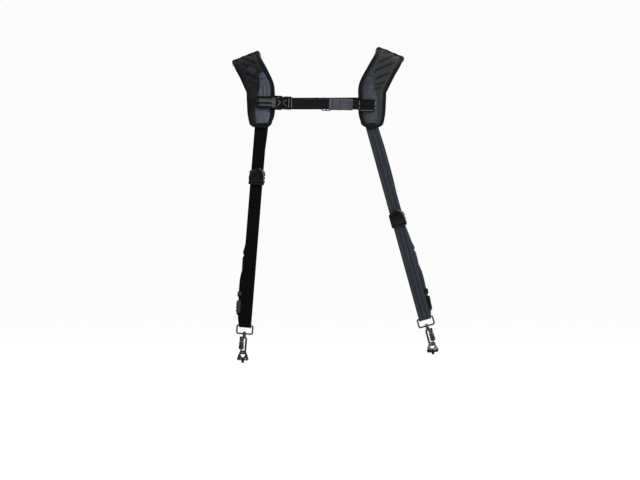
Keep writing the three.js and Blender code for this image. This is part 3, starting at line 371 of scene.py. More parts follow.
def sweep(path, radius, sides):
    """Round bar along points, none of whose runs points along Y."""
    path = np.asarray(path, float)
    last = len(path) - 1
    radii = np.broadcast_to(radius, (last + 1,))
    angles = (np.arange(sides) + 0.5) * 2 * math.pi / sides
    rings = []
    for i, point in enumerate(path):
        across = unit(np.cross([0, 1, 0], path[min(i + 1, last)] - path[max(i - 1, 0)]))
        rim = np.outer(np.cos(angles), across) + np.outer(np.sin(angles), [0, 1, 0])
        rings.append(point + radii[i] * rim)
    return loft(rings)


def rounded_run(corners, radius, closed=False, steps=6):
    """Points along straight runs with round corners between them."""
    corners = [np.asarray(c, float) for c in corners]
    points = []
    for i, corner in enumerate(corners):
        if not closed and i in (0, len(corners) - 1):
            points.append(corner)
            continue
        into = unit(corner - corners[i - 1])
        out = unit(corners[(i + 1) % len(corners)] - corner)
        turn = math.acos(np.clip(into @ out, -1, 1))
        reach = radius * math.tan(turn / 2)
        start = corner - reach * into
        side_way = unit(out - (out @ into) * into)
        for k in range(steps + 1):
            angle = turn * k / steps
            points.append(start + radius * math.sin(angle) * into + radius * (1 - math.cos(angle)) * side_way)
    return points


def rounded_box(width, height, radius, x=0.0, y=0.0):
    """Outline of a rounded rectangle, counterclockwise."""
    a, b = width / 2, height / 2
    corners = [(x + a, y - b), (x + a, y + b), (x - a, y + b), (x - a, y - b)]
    return rounded_run(corners, radius, closed=True, steps=5)


def circle(radius, x=0.0, y=0.0, sides=28):
    angles = np.arange(sides) * 2 * math.pi / sides
    return [(x + radius * math.cos(a), y + radius * math.sin(a)) for a in angles]


def plate(loops, thick, edge, steps=2):
    """Plate in the XZ plane, centred on Y = 0, with round edges. The loops after its rim are holes."""
    curve = bpy.data.curves.new("outline", "CURVE")
    curve.dimensions = "2D"
    curve.fill_mode = "BOTH"
    curve.extrude = thick / 2 - edge
    curve.bevel_depth = edge
    curve.bevel_resolution = steps
    curve.offset = -edge
    for number, outline in enumerate(loops):
        points = list(outline) if number == 0 else list(outline)[::-1]
        run = curve.splines.new("POLY")
        run.points.add(len(points) - 1)
        for knot, (x, z) in zip(run.points, points):
            knot.co = (x, z, 0, 1)
        run.use_cyclic_u = True
    holder = bpy.data.objects.new("outline", curve)
    bpy.context.scene.collection.objects.link(holder)
    mesh = bpy.data.meshes.new_from_object(holder.evaluated_get(bpy.context.evaluated_depsgraph_get()))
    work = bmesh.new()
    work.from_mesh(mesh)
    bmesh.ops.remove_doubles(work, verts=work.verts, dist=1e-3)
    points = [(v.co.x, -v.co.z, v.co.y) for v in work.verts]
    faces = [tuple(v.index for v in face.verts) for face in work.faces]
    work.free()
    bpy.data.objects.remove(holder)
    bpy.data.curves.remove(curve)
    bpy.data.meshes.remove(mesh)
    return Shape().add(points, faces)


def dome(outline, rows):
    """Body over an outline in the XZ plane. Each row shrinks the outline to a share and sets its Y."""
    outline = np.asarray(outline, float)
    middle = outline.mean(axis=0)
    rings = []
    for share, y in rows:
        flat = middle + (outline - middle) * share
        rings.append(np.column_stack([flat[:, 0], np.full(len(flat), y), flat[:, 1]]))
    return loft(rings)


def make_piece(name, shape, material, body="root", stands_for=(), matrix=None, smooth=40):
    """Blender object from a shape, riding on a body, with its finish and the CAD nodes that it stands for."""
    points = np.array(shape.points)
    if matrix is not None:
        points = points @ np.array(matrix)[:3, :3].T + np.array(matrix)[:3, 3]
    mesh = bpy.data.meshes.new(name)
    mesh.from_pydata((points * MM).tolist(), [], shape.faces)
    cloth = mesh.attributes.new("cloth", "FLOAT_VECTOR", "POINT")
    cloth.data.foreach_set("vector", (np.array(shape.cloth, float) * MM).astype(np.float32).ravel())
    work = bmesh.new()
    work.from_mesh(mesh)
    bmesh.ops.recalc_face_normals(work, faces=work.faces)
    work.to_mesh(mesh)
    work.free()
    mesh.shade_smooth()
    mesh.set_sharp_from_angle(angle=math.radians(smooth))
    mesh.materials.append(material)
    made = bpy.data.objects.new(name, mesh)
    bpy.context.scene.collection.objects.link(made)
    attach(made, body)
    if stands_for:
        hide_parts(*stands_for)
    return made


def make_hard(name, shape, material, body, node, matrix):
    """Moulded or metal piece: its flat faces stay flat beside the round edges."""
    made = make_piece(name, shape, material, body, [node], matrix, smooth=50)
    flat = made.modifiers.new("flat_faces", "WEIGHTED_NORMAL")
    flat.keep_sharp = True
    return made


def seat_on(point, across, tangent):
    """Matrix whose X runs across the webbing, Z along it and -Y away from the body."""
    x = unit(across)
    z = unit(tangent - (tangent @ x) * x)
    matrix = np.eye(4)
    matrix[:3, 0], matrix[:3, 1], matrix[:3, 2], matrix[:3, 3] = x, np.cross(z, x), z, point
    return matrix


def turned(axis, degrees, place=(0, 0, 0)):
    """Matrix of a turn about an axis through the origin, then a move."""
    return np.array(Matrix.Translation(place) @ Matrix.Rotation(math.radians(degrees), 4, axis))


# %% [markdown]
# ## Finishes
# A finish has three scales: the colour drifts over centimetres, the weave or grain repeats over a
# millimetre or two, and the edges are worn. The parts that several finishes share are node groups:
# mottle for slow colour drift, weave for woven tape, and scuff for rubbed edges. Each material keeps its
# own shader.

# %% Node helpers
def put(tree, kind, inputs=None, **settings):
    """New node with its settings, and its inputs set to values or linked to sockets."""
    made = tree.nodes.new(kind)
    for key, value in settings.items():
        setattr(made, key, value)
    for key, value in (inputs or {}).items():
        if isinstance(value, bpy.types.NodeSocket):
            tree.links.new(value, made.inputs[key])
        else:
            made.inputs[key].default_value = value
    return made


def calc(tree, operation, a, b=0.0, c=0.0):
    return put(tree, "ShaderNodeMath", {0: a, 1: b, 2: c}, operation=operation).outputs[0]


def ramp(tree, value, low, high):
    """0 up to low, 1 from high on, and straight between them."""
    return put(tree, "ShaderNodeMapRange", {"Value": value, "From Min": low, "From Max": high}).outputs[0]


def new_group(name, sockets):
    """Empty node group. sockets has rows of name, INPUT or OUTPUT, socket type and default."""
    group = bpy.data.node_groups.new(name, "ShaderNodeTree")
    for label, way, kind, default in sockets:
        socket = group.interface.new_socket(name=label, in_out=way, socket_type=kind)
        if default is not None:
            socket.default_value = default
    return group, put(group, "NodeGroupInput"), put(group, "NodeGroupOutput")


def finish_group(group, end, **outputs):
    for label, socket in outputs.items():
        group.links.new(socket, end.inputs[label])
    print("node group", group.name, "has", len(group.nodes), "nodes")
    return group


# %% Mottle: slow drift of colour and roughness
def make_mottle():
    group, start, end = new_group("mottle", [
        ("Vector", "INPUT", "NodeSocketVector", None),
        ("Scale", "INPUT", "NodeSocketFloat", 30.0),
        ("Spread", "INPUT", "NodeSocketFloat", 0.2),
        ("Value", "OUTPUT", "NodeSocketFloat", None),
    ])
    noise = put(group, "ShaderNodeTexNoise", {
        "Vector": start.outputs["Vector"], "Scale": start.outputs["Scale"], "Detail": 5.0, "Roughness": 0.6,
    })
    centred = calc(group, "SUBTRACT", noise.outputs[0], 0.5)
    doubled = calc(group, "MULTIPLY", centred, 2.0)
    value = calc(group, "MULTIPLY_ADD", doubled, start.outputs["Spread"], 1.0)
    return finish_group(group, end, Value=value)


# %% Weave: lengthwise ribs crossed by alternating picks
def make_weave():
    group, start, end = new_group("weave", [
        ("Vector", "INPUT", "NodeSocketVector", None),
        ("Rib", "INPUT", "NodeSocketFloat", 0.0012),
        ("Pick", "INPUT", "NodeSocketFloat", 0.0016),
        ("Height", "OUTPUT", "NodeSocketFloat", None),
    ])
    parts = put(group, "ShaderNodeSeparateXYZ", {0: start.outputs["Vector"]})
    ribs = calc(group, "DIVIDE", parts.outputs[0], start.outputs["Rib"])
    picks = calc(group, "DIVIDE", parts.outputs[1], start.outputs["Pick"])
    number = calc(group, "FLOOR", ribs)
    shifted = calc(group, "MULTIPLY_ADD", number, 0.5, picks)
    rib_wave = calc(group, "ABSOLUTE", calc(group, "SINE", calc(group, "MULTIPLY", ribs, math.pi)))
    pick_wave = calc(group, "ABSOLUTE", calc(group, "SINE", calc(group, "MULTIPLY", shifted, math.pi)))
    crossed = calc(group, "MULTIPLY_ADD", pick_wave, 0.5, 0.5)
    rounded = calc(group, "POWER", rib_wave, 0.6)
    return finish_group(group, end, Height=calc(group, "MULTIPLY", rounded, crossed))


# %% Scuff: a mask of rubbed edges and small scratches
def make_scuff():
    group, start, end = new_group("scuff", [
        ("Vector", "INPUT", "NodeSocketVector", None),
        ("Amount", "INPUT", "NodeSocketFloat", 0.5),
        ("Mask", "OUTPUT", "NodeSocketFloat", None),
    ])
    geometry = put(group, "ShaderNodeNewGeometry")
    edge = ramp(group, geometry.outputs["Pointiness"], 0.52, 0.62)
    cloudy = {"Vector": start.outputs["Vector"], "Scale": 420.0, "Detail": 4.0}
    broken = ramp(group, put(group, "ShaderNodeTexNoise", cloudy).outputs[0], 0.42, 0.66)
    worn = calc(group, "MULTIPLY", edge, broken)
    return finish_group(group, end, Mask=calc(group, "MULTIPLY", worn, start.outputs["Amount"]))


MOTTLE = make_mottle()
WEAVE = make_weave()
SCUFF = make_scuff()


# %% [markdown]
# Each finish is a function that builds one material. Base colour is the dark cloth or plastic colour
# times the mottle, and Normal comes from a Bump node that reads the weave, mesh or grain. Numbers that
# are the same all over, such as sheen, go straight on the shader.

# %% Building blocks of a material
def new_material(name, **sockets):
    material = bpy.data.materials.new(name)
    material.use_nodes = True
    shader = material.node_tree.nodes["Principled BSDF"]
    for key, value in sockets.items():
        shader.inputs[key.replace("_", " ")].default_value = value
    return material, material.node_tree, shader


def use(tree, group, **inputs):
    """Outputs of a node group placed in a material with its own values."""
    return put(tree, "ShaderNodeGroup", inputs, node_tree=group).outputs


def feed(tree, shader, **sockets):
    """Links values that change over the surface to the shader."""
    for key, value in sockets.items():
        tree.links.new(value, shader.inputs[key.replace("_", " ")])


def tint(tree, color, value):
    """The colour times a value that changes over the surface."""
    inputs = {"Factor": 1.0, "A": (*color, 1), "B": value}
    return put(tree, "ShaderNodeMix", inputs, data_type="RGBA", blend_type="MULTIPLY").outputs["Result"]


def blend_color(tree, mask, below, above):
    inputs = {"Factor": mask, "A": (*below, 1), "B": (*above, 1)}
    return put(tree, "ShaderNodeMix", inputs, data_type="RGBA").outputs["Result"]


def bump(tree, shader, height, depth):
    """Relief of that depth, in metres, on the shader's Normal."""
    made = put(tree, "ShaderNodeBump", {"Height": height, "Distance": depth, "Strength": 1.0})
    tree.links.new(made.outputs[0], shader.inputs["Normal"])


def cloth_vector(tree):
    return put(tree, "ShaderNodeAttribute", attribute_name="cloth").outputs["Vector"]


def object_vector(tree):
    return put(tree, "ShaderNodeTexCoord").outputs["Object"]


# %% Webbing
SHADE_STRIPE_PITCH = 0.0088  # metres from one pale lengthwise band to the next
LEG_WEAVE = (0.0013, 0.0021, 0.00035)  # rib, pick and relief of a weave, in metres
TAPE_WEAVE = (0.0008, 0.0011, 0.0002)
ELASTIC_WEAVE = (0.0022, 0.0009, 0.00025)
THREAD_TWIST = (0.0004, 0.0004, 0.0001)


def webbing_finish(name, color, weave, roughness, sheen, gloss=0.15, shade_stripes=0.32):
    """Woven tape with its weave, a slow drift of colour and faint lengthwise stripes of painted light and shade."""
    rib, pick, depth = weave
    plain = dict(Sheen_Weight=sheen, Sheen_Roughness=0.4, Specular_IOR_Level=gloss)
    material, tree, shader = new_material(name, **plain)
    vector = cloth_vector(tree)
    height = use(tree, WEAVE, Vector=vector, Rib=rib, Pick=pick)["Height"]
    drift = use(tree, MOTTLE, Vector=object_vector(tree), Scale=55.0, Spread=0.3)["Value"]
    across = put(tree, "ShaderNodeSeparateXYZ", {0: vector}).outputs[0]
    # Pale and dark lengthwise stripes: painted light and shade of soft ridges along the tape.
    stripe_wave = calc(tree, "SINE", calc(tree, "MULTIPLY_ADD", across, 2 * math.pi / SHADE_STRIPE_PITCH, drift))
    stripe_shaded = calc(tree, "MULTIPLY", drift, calc(tree, "MULTIPLY_ADD", stripe_wave, shade_stripes, 1.0))
    shaded = calc(tree, "MULTIPLY", stripe_shaded, calc(tree, "MULTIPLY_ADD", height, 0.55, 0.6))
    rough = calc(tree, "MULTIPLY", drift, roughness)
    feed(tree, shader, Base_Color=tint(tree, color, shaded), Roughness=rough)
    bump(tree, shader, height, depth)
    return material


WEBBING = webbing_finish("nylon_webbing", (0.0024, 0.0025, 0.0036), LEG_WEAVE, 0.55, 0.01, gloss=0.05)
# A paler copy of the leg webbing for the left leg: its lighter colour is painted light.
LIT_LEG_WEBBING = webbing_finish("lit_leg_webbing", (0.029, 0.034, 0.043), LEG_WEAVE, 0.6, 0.05)
CHEST_WEBBING = webbing_finish("chest_webbing", (0.0065, 0.0065, 0.0075), LEG_WEAVE, 0.5, 0.02, gloss=0.12)
# The chest webbing through the right slider is a pale, glossy copy: its pale colour is a painted highlight, its
# gloss a real setting.
GLOSS_AND_HIGHLIGHT_WEBBING = webbing_finish("shiny_webbing", (0.088, 0.085, 0.095), LEG_WEAVE, 0.35, 0.05, gloss=0.4)
TAPE = webbing_finish("binding_tape", (0.006, 0.006, 0.007), TAPE_WEAVE, 0.75, 0.03)
ELASTIC = webbing_finish("soft_elastic", (0.085, 0.083, 0.105), ELASTIC_WEAVE, 0.38, 0.15, shade_stripes=0.1)
THREAD = webbing_finish("sewing_thread", (0.05, 0.052, 0.058), THREAD_TWIST, 0.6, 0.1)


# %% Moulded mesh of the pads
def mesh_finish(name, color):
    plain = dict(Sheen_Weight=0.03, Sheen_Roughness=0.5, Specular_IOR_Level=0.25)
    material, tree, shader = new_material(name, **plain)
    vector = cloth_vector(tree)
    cells = put(tree, "ShaderNodeTexVoronoi", {"Vector": vector, "Scale": 520.0, "Randomness": 0.25})
    pore = put(tree, "ShaderNodeMapRange", {
        "Value": cells.outputs["Distance"], "From Min": 0.1, "From Max": 0.42, "To Min": 0.0, "To Max": 1.0,
    })
    drift = use(tree, MOTTLE, Vector=vector, Scale=45.0, Spread=0.35)["Value"]
    shaded = calc(tree, "MULTIPLY", drift, calc(tree, "MULTIPLY_ADD", pore.outputs[0], 0.5, 0.62))
    # The groove attribute darkens the colour in the pad's grooves: painted shade.
    groove = put(tree, "ShaderNodeAttribute", attribute_name="groove").outputs["Fac"]
    groove_shaded = calc(tree, "MULTIPLY", shaded, calc(tree, "MULTIPLY_ADD", groove, -0.93, 1.0))
    feed(tree, shader, Base_Color=tint(tree, color, groove_shaded), Roughness=calc(tree, "MULTIPLY", drift, 0.8))
    bump(tree, shader, pore.outputs[0], 0.0006)
    return material


# %% Smooth nylon of the front panels and the badge
def nylon_finish(name, color):
    plain = dict(Sheen_Weight=0.06, Sheen_Roughness=0.35, Specular_IOR_Level=0.45)
    material, tree, shader = new_material(name, **plain)
    vector = cloth_vector(tree)
    height = use(tree, WEAVE, Vector=vector, Rib=0.0006, Pick=0.0006)["Height"]
    folds = {"Vector": vector, "Scale": 90.0, "Detail": 3.0, "Distortion": 0.6}
    crease = put(tree, "ShaderNodeTexNoise", folds)
    drift = use(tree, MOTTLE, Vector=vector, Scale=70.0, Spread=0.25)["Value"]
    feed(tree, shader, Base_Color=tint(tree, color, drift), Roughness=calc(tree, "MULTIPLY", drift, 0.5))
    both = calc(tree, "MULTIPLY_ADD", height, 0.12, crease.outputs[0])
    bump(tree, shader, both, 0.0011)
    return material


# %% Plastic, metal and rubber
def plastic_finish(name, plain, worn):
    material, tree, shader = new_material(name, Specular_IOR_Level=0.3)
    vector = object_vector(tree)
    grain = put(tree, "ShaderNodeTexNoise", {"Vector": vector, "Scale": 1500.0, "Detail": 2.0})
    drift = use(tree, MOTTLE, Vector=vector, Scale=60.0, Spread=0.3)["Value"]
    rubbed = use(tree, SCUFF, Vector=vector, Amount=0.3)["Mask"]
    color = blend_color(tree, rubbed, plain, worn)
    feed(tree, shader, Base_Color=color, Roughness=calc(tree, "MULTIPLY", drift, 0.28))
    bump(tree, shader, grain.outputs[0], 0.00006)
    return material


def metal_finish():
    material, tree, shader = new_material("black_plated_metal", Specular_IOR_Level=0.5)
    vector = object_vector(tree)
    drift = use(tree, MOTTLE, Vector=vector, Scale=160.0, Spread=0.4)["Value"]
    rubbed = use(tree, SCUFF, Vector=vector, Amount=0.8)["Mask"]
    color = blend_color(tree, rubbed, (0.06, 0.06, 0.065), (0.42, 0.41, 0.4))
    tree.links.new(color, shader.inputs["Base Color"])
    metallic = calc(tree, "MULTIPLY_ADD", rubbed, 0.2, 0.8)
    tree.links.new(metallic, shader.inputs["Metallic"])
    tree.links.new(calc(tree, "MULTIPLY", drift, 0.22), shader.inputs["Roughness"])
    grain = put(tree, "ShaderNodeTexNoise", {"Vector": vector, "Scale": 900.0, "Detail": 3.0})
    bump(tree, shader, grain.outputs[0], 0.00005)
    return material


def rubber_finish():
    material, tree, shader = new_material("washer_rubber", Specular_IOR_Level=0.3)
    vector = object_vector(tree)
    drift = use(tree, MOTTLE, Vector=vector, Scale=300.0, Spread=0.4)["Value"]
    tree.links.new(tint(tree, (0.02, 0.02, 0.021), drift), shader.inputs["Base Color"])
    tree.links.new(calc(tree, "MULTIPLY", drift, 0.85), shader.inputs["Roughness"])
    grain = put(tree, "ShaderNodeTexNoise", {"Vector": vector, "Scale": 1200.0, "Detail": 2.0})
    bump(tree, shader, grain.outputs[0], 0.0002)
    return material


# The right pad gets a darker copy of the moulded mesh: painted shade.
MESH = {
    "right": mesh_finish("shaded_moulded_mesh", (0.0135, 0.0135, 0.0165)),
    "left": mesh_finish("moulded_mesh", (0.036, 0.037, 0.039)),
}
# The right pad's panel gets a paler copy of the panel nylon: painted light on the panel that faces the key lamp.
NYLON = {
    "right": nylon_finish("lit_panel_nylon", (0.075, 0.085, 0.108)),
    "left": nylon_finish("panel_nylon", (0.030, 0.034, 0.044)),
}
BADGE = nylon_finish("bare_badge", (0.028, 0.030, 0.037))
PLASTIC = plastic_finish("moulded_plastic", (0.0022, 0.0022, 0.003), (0.02, 0.02, 0.024))
# Pale plastic for thin beads that paint highlights along edges and ribs of the moulded pieces.
PAINTED_HIGHLIGHT_PLASTIC = plastic_finish("painted_highlight_plastic", (0.16, 0.16, 0.175), (0.24, 0.24, 0.25))
METAL = metal_finish()
RUBBER = rubber_finish()
print("materials:", ", ".join(material.name for material in bpy.data.materials))

# %% [markdown]
# ## Shoulder pads
# A pad is foam between two layers of cloth, bound all round. Its front is embossed with slanting grooves.
# The pad starts as rings of points across it, a little flatter than the real one. Blender's Cloth with
# some pressure then swells the front between its sewn lines, which no formula does as softly. The rim,
# the back and the grooves are pinned, because they are held by the binding, the foam and the moulding.

# %% Pad surface
FRONT_POINTS = 20  # columns across the front of a pad
BACK_POINTS = 9
PAD_PITCH = 3.4  # distance between rings
SWELL_CAP = 1.3  # most that the front may swell
SWELL_PRESSURE = 4
SWELL_FRAMES = 20
FRONT_MARK = 1000  # third cloth coordinate of the front's points; on the back it is 0
HELD_MARGIN = 6  # the front is held down this far in from its rim


def swell(side, run, inset):
    """0 on the flat rim, 1 where the pad has its full thickness."""
    tail = min(run, side.length - run)
    return smoothstep(min(inset, tail + 1), RIM_BAND - 1, 2.3 * RIM_BAND)


def front_height(side, run, half, across):
    puff = swell(side, run, half - abs(across))
    return RIM_THICK / 2 + puff * ((PAD_THICK - RIM_THICK) / 2 + CROWN_RISE * (1 - (across / half) ** 2))


def pad_runs(side):
    """Places of the rings, closer together round the tails' corners."""
    corner = PAD_CORNER * (1 - np.cos(np.linspace(0, math.pi / 2, 6)))
    steps = round((side.length - 2 * PAD_CORNER) / PAD_PITCH)
    middle = np.linspace(PAD_CORNER, side.length - PAD_CORNER, steps + 1)[1:-1]
    return np.concatenate([corner, middle, side.length - corner[::-1]])


def pad_shape(side):
    rings, cloth = [], []
    for run in pad_runs(side):
        at = pad_frame(side, share_at(side, run))
        half = rim_half(side, run, at)
        front = np.sin(np.linspace(math.pi / 2, -math.pi / 2, FRONT_POINTS)) * half
        back = np.linspace(-half, half, BACK_POINTS)
        ring = [pad_point(at, across, front_height(side, run, half, across)) for across in front]
        for across in back:
            puff = swell(side, run, half - abs(across))
            ring.append(pad_point(at, across, -RIM_THICK / 2 - puff * (PAD_THICK - RIM_THICK) / 2))
        rings.append(ring)
        cloth.append([(across, run, FRONT_MARK) for across in front] + [(across, run, 0) for across in back])
    return loft([np.array(r) for r in rings], cloth)


# %% Embossed grooves
Groove = namedtuple("Groove", "run_in across_in run_out across_out depth")
GROOVES = [
    Groove(175, -15, 206, 4, 1.6),
    Groove(144, -12, 203, 15, 2.1),
    Groove(118, -11, 161, 13, 2.1),
    Groove(101, -2, 128, 15, 2.0),
    Groove(87, 3, 103, 17, 1.8),
    Groove(77, 4, 87, 16, 1.5),
]
FAINTER = {"right": 0.7, "left": 1.0}  # the grooves are pressed less deep on one pad


def groove_depth(side, cloth, width):
    """How deep the grooves are at rows of across, run and front, with soft flanks of that width."""
    depth = np.zeros(len(cloth))
    for groove in GROOVES:
        a = np.array([groove.across_in, groove.run_in], float)
        b = np.array([groove.across_out, groove.run_out], float)
        line = b - a
        share = np.clip(((cloth[:, :2] - a) @ line) / (line @ line), 0, 1)
        off = np.linalg.norm(cloth[:, :2] - a - share[:, None] * line, axis=1)
        ends = np.sqrt(np.clip(4 * (share + 0.12) * (1.12 - share), 0.3, 1))
        depth = np.maximum(depth, groove.depth * ends * np.exp(-((off / width) ** 2)))
    return FAINTER[side.name] * depth * (cloth[:, 2] > FRONT_MARK / 2)


# %% Swell a pad with cloth
def read_cloth(mesh):
    values = np.zeros(len(mesh.vertices) * 3, np.float32)
    mesh.attributes["cloth"].data.foreach_get("vector", values)
    return values.reshape(-1, 3).astype(float) / MM


def read_points(mesh):
    values = np.zeros(len(mesh.vertices) * 3, np.float32)
    mesh.vertices.foreach_get("co", values)
    return values.reshape(-1, 3).astype(float)


def write_points(mesh, points):
    mesh.vertices.foreach_set("co", points.astype(np.float32).ravel())
    mesh.update()


def swell_with_cloth(pad, side):
    """Runs a short pressure simulation on the pad and keeps a capped share of what it moved."""
    mesh = pad.data
    cloth = read_cloth(mesh)
    start = read_points(mesh)
    widths = np.interp(side.shares, np.linspace(0, 1, len(PAD_ROWS)), PAD_COLUMNS["width"])
    edge = np.interp(cloth[:, 1], side.runs, PAD_WIDTH / 2 * widths) - np.abs(cloth[:, 0])
    tail = np.minimum(cloth[:, 1], side.length - cloth[:, 1])
    held = (cloth[:, 2] < FRONT_MARK / 2) | (np.minimum(edge, tail) < HELD_MARGIN)
    held |= groove_depth(side, cloth, 2.2) > 0.6
    pins = pad.vertex_groups.new(name="pins")
    pins.add(np.flatnonzero(held).tolist(), 1.0, "REPLACE")
    cloth_modifier = pad.modifiers.new("foam", "CLOTH")
    settings = cloth_modifier.settings
    settings.vertex_group_mass = "pins"
    settings.use_pressure = True
    settings.uniform_pressure_force = SWELL_PRESSURE
    settings.effector_weights.gravity = 0
    scene = bpy.context.scene
    for number in range(SWELL_FRAMES):
        scene.frame_set(number + 1)
    moved = pad.evaluated_get(bpy.context.evaluated_depsgraph_get())
    shift = read_points(moved.data) - start
    size = np.linalg.norm(shift, axis=1, keepdims=True)
    capped = shift * np.minimum(1, SWELL_CAP * MM / np.maximum(size, 1e-9))
    pad.modifiers.remove(cloth_modifier)
    pad.vertex_groups.remove(pins)
    scene.frame_set(1)
    write_points(mesh, start + capped)
    print(pad.name, "swelled by up to", round(float(np.linalg.norm(capped, axis=1).max() / MM), 2), "mm")


def subdivide(piece, levels):
    modifier = piece.modifiers.new("smooth", "SUBSURF")
    modifier.levels = levels
    modifier.boundary_smooth = "PRESERVE_CORNERS"
    fine = bpy.data.meshes.new_from_object(piece.evaluated_get(bpy.context.evaluated_depsgraph_get()))
    piece.modifiers.remove(modifier)
    piece.data = fine


def emboss(pad, side):
    mesh = pad.data
    points = read_points(mesh)
    cloth = read_cloth(mesh)
    normals = np.zeros(len(mesh.vertices) * 3, np.float32)
    mesh.vertices.foreach_get("normal", normals)
    depth = groove_depth(side, cloth, 2.6)
    write_points(mesh, points - normals.reshape(-1, 3) * depth[:, None] * MM)
    # The groove attribute is painted shade: the mesh finish darkens the grooves by it.
    shade = mesh.attributes.new("groove", "FLOAT", "POINT")
    shade.data.foreach_set("value", np.clip(depth / depth.max(), 0, 1).astype(np.float32))


for side in SIDES:
    pad = make_piece(
        f"pad_{side.name}", pad_shape(side), MESH[side.name],
        stands_for=[f"shoulder_pad_{side.name}"], smooth=80,
    )
    swell_with_cloth(pad, side)
    subdivide(pad, 2)
    emboss(pad, side)
    side.tree = BVHTree.FromObject(pad, bpy.context.evaluated_depsgraph_get())
    print(pad.name, len(pad.data.polygons), "faces")


# %% [markdown]
# ## Binding
# The pad's raw edges are folded into a woven tape that is sewn down all round. It is a channel section
# swept along the rim: round where it folds over the edge, flat where it lies on the two faces.

# %% Rim path and tape section
TAPE_THICK = 1.1
TAPE_FRONT = 5.2  # how far the tape reaches in over the front
TAPE_BACK = 4.2


def rim_stops(side):
    """Closed run round the rim: point, surface normal, and direction away from the pad."""
    places = [(run, 1.0) for run in pad_runs(side)]
    end_steps = 6
    last = [(side.length, 1 - 2 * k / end_steps) for k in range(1, end_steps)]
    first = [(0.0, -1 + 2 * k / end_steps) for k in range(1, end_steps)]
    places = places + last + [(run, -1.0) for run in pad_runs(side)[::-1]] + first
    frames = []
    for run, across in places:
        at = pad_frame(side, share_at(side, run))
        frames.append((pad_point(at, across * rim_half(side, run, at), 0), at.normal))
    stops = []
    for i, (point, normal) in enumerate(frames):
        tangent = unit(frames[(i + 1) % len(frames)][0] - frames[i - 1][0])
        outward = unit(np.cross(tangent, normal) * side.sign)
        level = unit(normal - (normal @ outward) * outward)
        stops.append((point, outward, level))
    return stops


def tape_section():
    """Closed channel section as rows of distance out, height, and distance round the tape."""
    inside = RIM_THICK / 2 + 0.1
    outer = inside + TAPE_THICK
    angles = np.linspace(math.pi / 2, -math.pi / 2, 11)
    fold = [(0.4 + 1.5 * math.cos(a), outer * math.sin(a)) for a in angles]
    front = [
        (-TAPE_FRONT, inside + 0.1), (-TAPE_FRONT - 0.25, inside + 0.6), (-TAPE_FRONT, outer),
        (-TAPE_FRONT + 0.9, outer + 0.06), (-TAPE_FRONT / 2, outer + 0.14),
    ]
    back = [
        (-TAPE_BACK / 2, -outer - 0.1), (-TAPE_BACK, -outer), (-TAPE_BACK - 0.25, -inside - 0.6),
        (-TAPE_BACK, -inside - 0.1),
    ]
    inner = [(0.1, -inside + 0.3), (0.1, inside - 0.3)]
    return np.array(front + fold + back + inner)


def binding_shape(side):
    section = tape_section()
    around = runs_along(section)
    stops = rim_stops(side)
    rings, cloth = [], []
    travelled = 0.0
    for i, (point, outward, level) in enumerate(stops):
        if i:
            travelled += np.linalg.norm(point - stops[i - 1][0])
        rings.append(np.array([point + out * outward + high * level for out, high in section]))
        cloth.append([(distance, travelled, 0) for distance in around])
    return loft(rings, cloth, closed=True)


for side in SIDES:
    binding = make_piece(
        f"binding_{side.name}", binding_shape(side), TAPE,
        stands_for=[f"pad_binding_{side.name}"], smooth=70,
    )
    print(binding.name, len(binding.data.polygons), "faces")


# %% [markdown]
# ## Nylon front panels
# A smooth nylon panel is sewn on the front of each pad, held by cross tacks. It is a thin sheet that
# follows the pad, so each of its points is dropped onto the swollen pad with a ray and then lifted by its
# own folds. The folds are a short table: where each starts and ends, how wide it is and how high it stands.

# %% Panel tables
PANEL_THICK = 0.9
PanelRow = namedtuple("PanelRow", "step inner outer")
PANEL_ROWS = {
    "right": [
        PanelRow(2, 0.7, 0.4),
        PanelRow(3, 0.77, 0.42),
        PanelRow(4, 0.8, 0.42),
        PanelRow(5, 0.8, 0.38),
        PanelRow(6, 0.79, 0.24),
        PanelRow(7, 0.77, 0.06),
        PanelRow(8, 0.75, -0.14),
        PanelRow(8.9, 0.7, -0.3),
    ],
    "left": [
        PanelRow(2, 0.7, 0.4),
        PanelRow(3, 0.77, 0.42),
        PanelRow(4, 0.8, 0.42),
        PanelRow(5, 0.8, 0.4),
        PanelRow(6, 0.79, 0.32),
        PanelRow(7, 0.77, 0.14),
        PanelRow(8, 0.74, -0.18),
        PanelRow(9, 0.7, -0.56),
    ],
}
PAD_STEPS = 24
PANEL_COLUMNS = {name: columns(rows) for name, rows in PANEL_ROWS.items()}
Fold = namedtuple("Fold", "low high place width rise")
FOLDS = {
    "right": [
        Fold(-90, -60, -0.62, 2.6, 2.6),
        Fold(-90, -60, -0.3, 2.8, 2.5),
        Fold(-90, -60, 0.02, 2.4, 2.2),
        Fold(-57, -40, -0.55, 3.8, 2.8),
        Fold(-57, -40, -0.1, 3.4, 2.4),
        Fold(-139, -124, -0.5, 3.0, 1.6),
        Fold(-139, -118, 0.1, 2.6, 1.4),
        Fold(-125, -104, -0.2, 9.0, 1.2),
    ],
    "left": [
        Fold(-92, -56, -0.3, 7.0, 1.8),
        Fold(-136, -108, -0.2, 8.0, 1.4),
        Fold(-92, -50, 0.36, 1.6, 0.9),
        Fold(-139, -108, 0.36, 1.6, 0.8),
    ],
}
TACKS = {"right": [-53.7, -137.2], "left": [-48.9, -136.6]}


def panel_height(side, at, across):
    """How far the panel's face stands off the pad at a place."""
    level = at.middle[2]
    height = 0.35
    for fold in FOLDS[side.name]:
        along = smoothstep(level, fold.low, fold.low + 8) * (1 - smoothstep(level, fold.high - 8, fold.high))
        off = (across - fold.place * at.half) / fold.width
        height += fold.rise * along * math.exp(-off * off)
    for tack in TACKS[side.name]:
        height *= 1 - 0.75 * math.exp(-(((level - tack) / 1.5) ** 2))
    return height


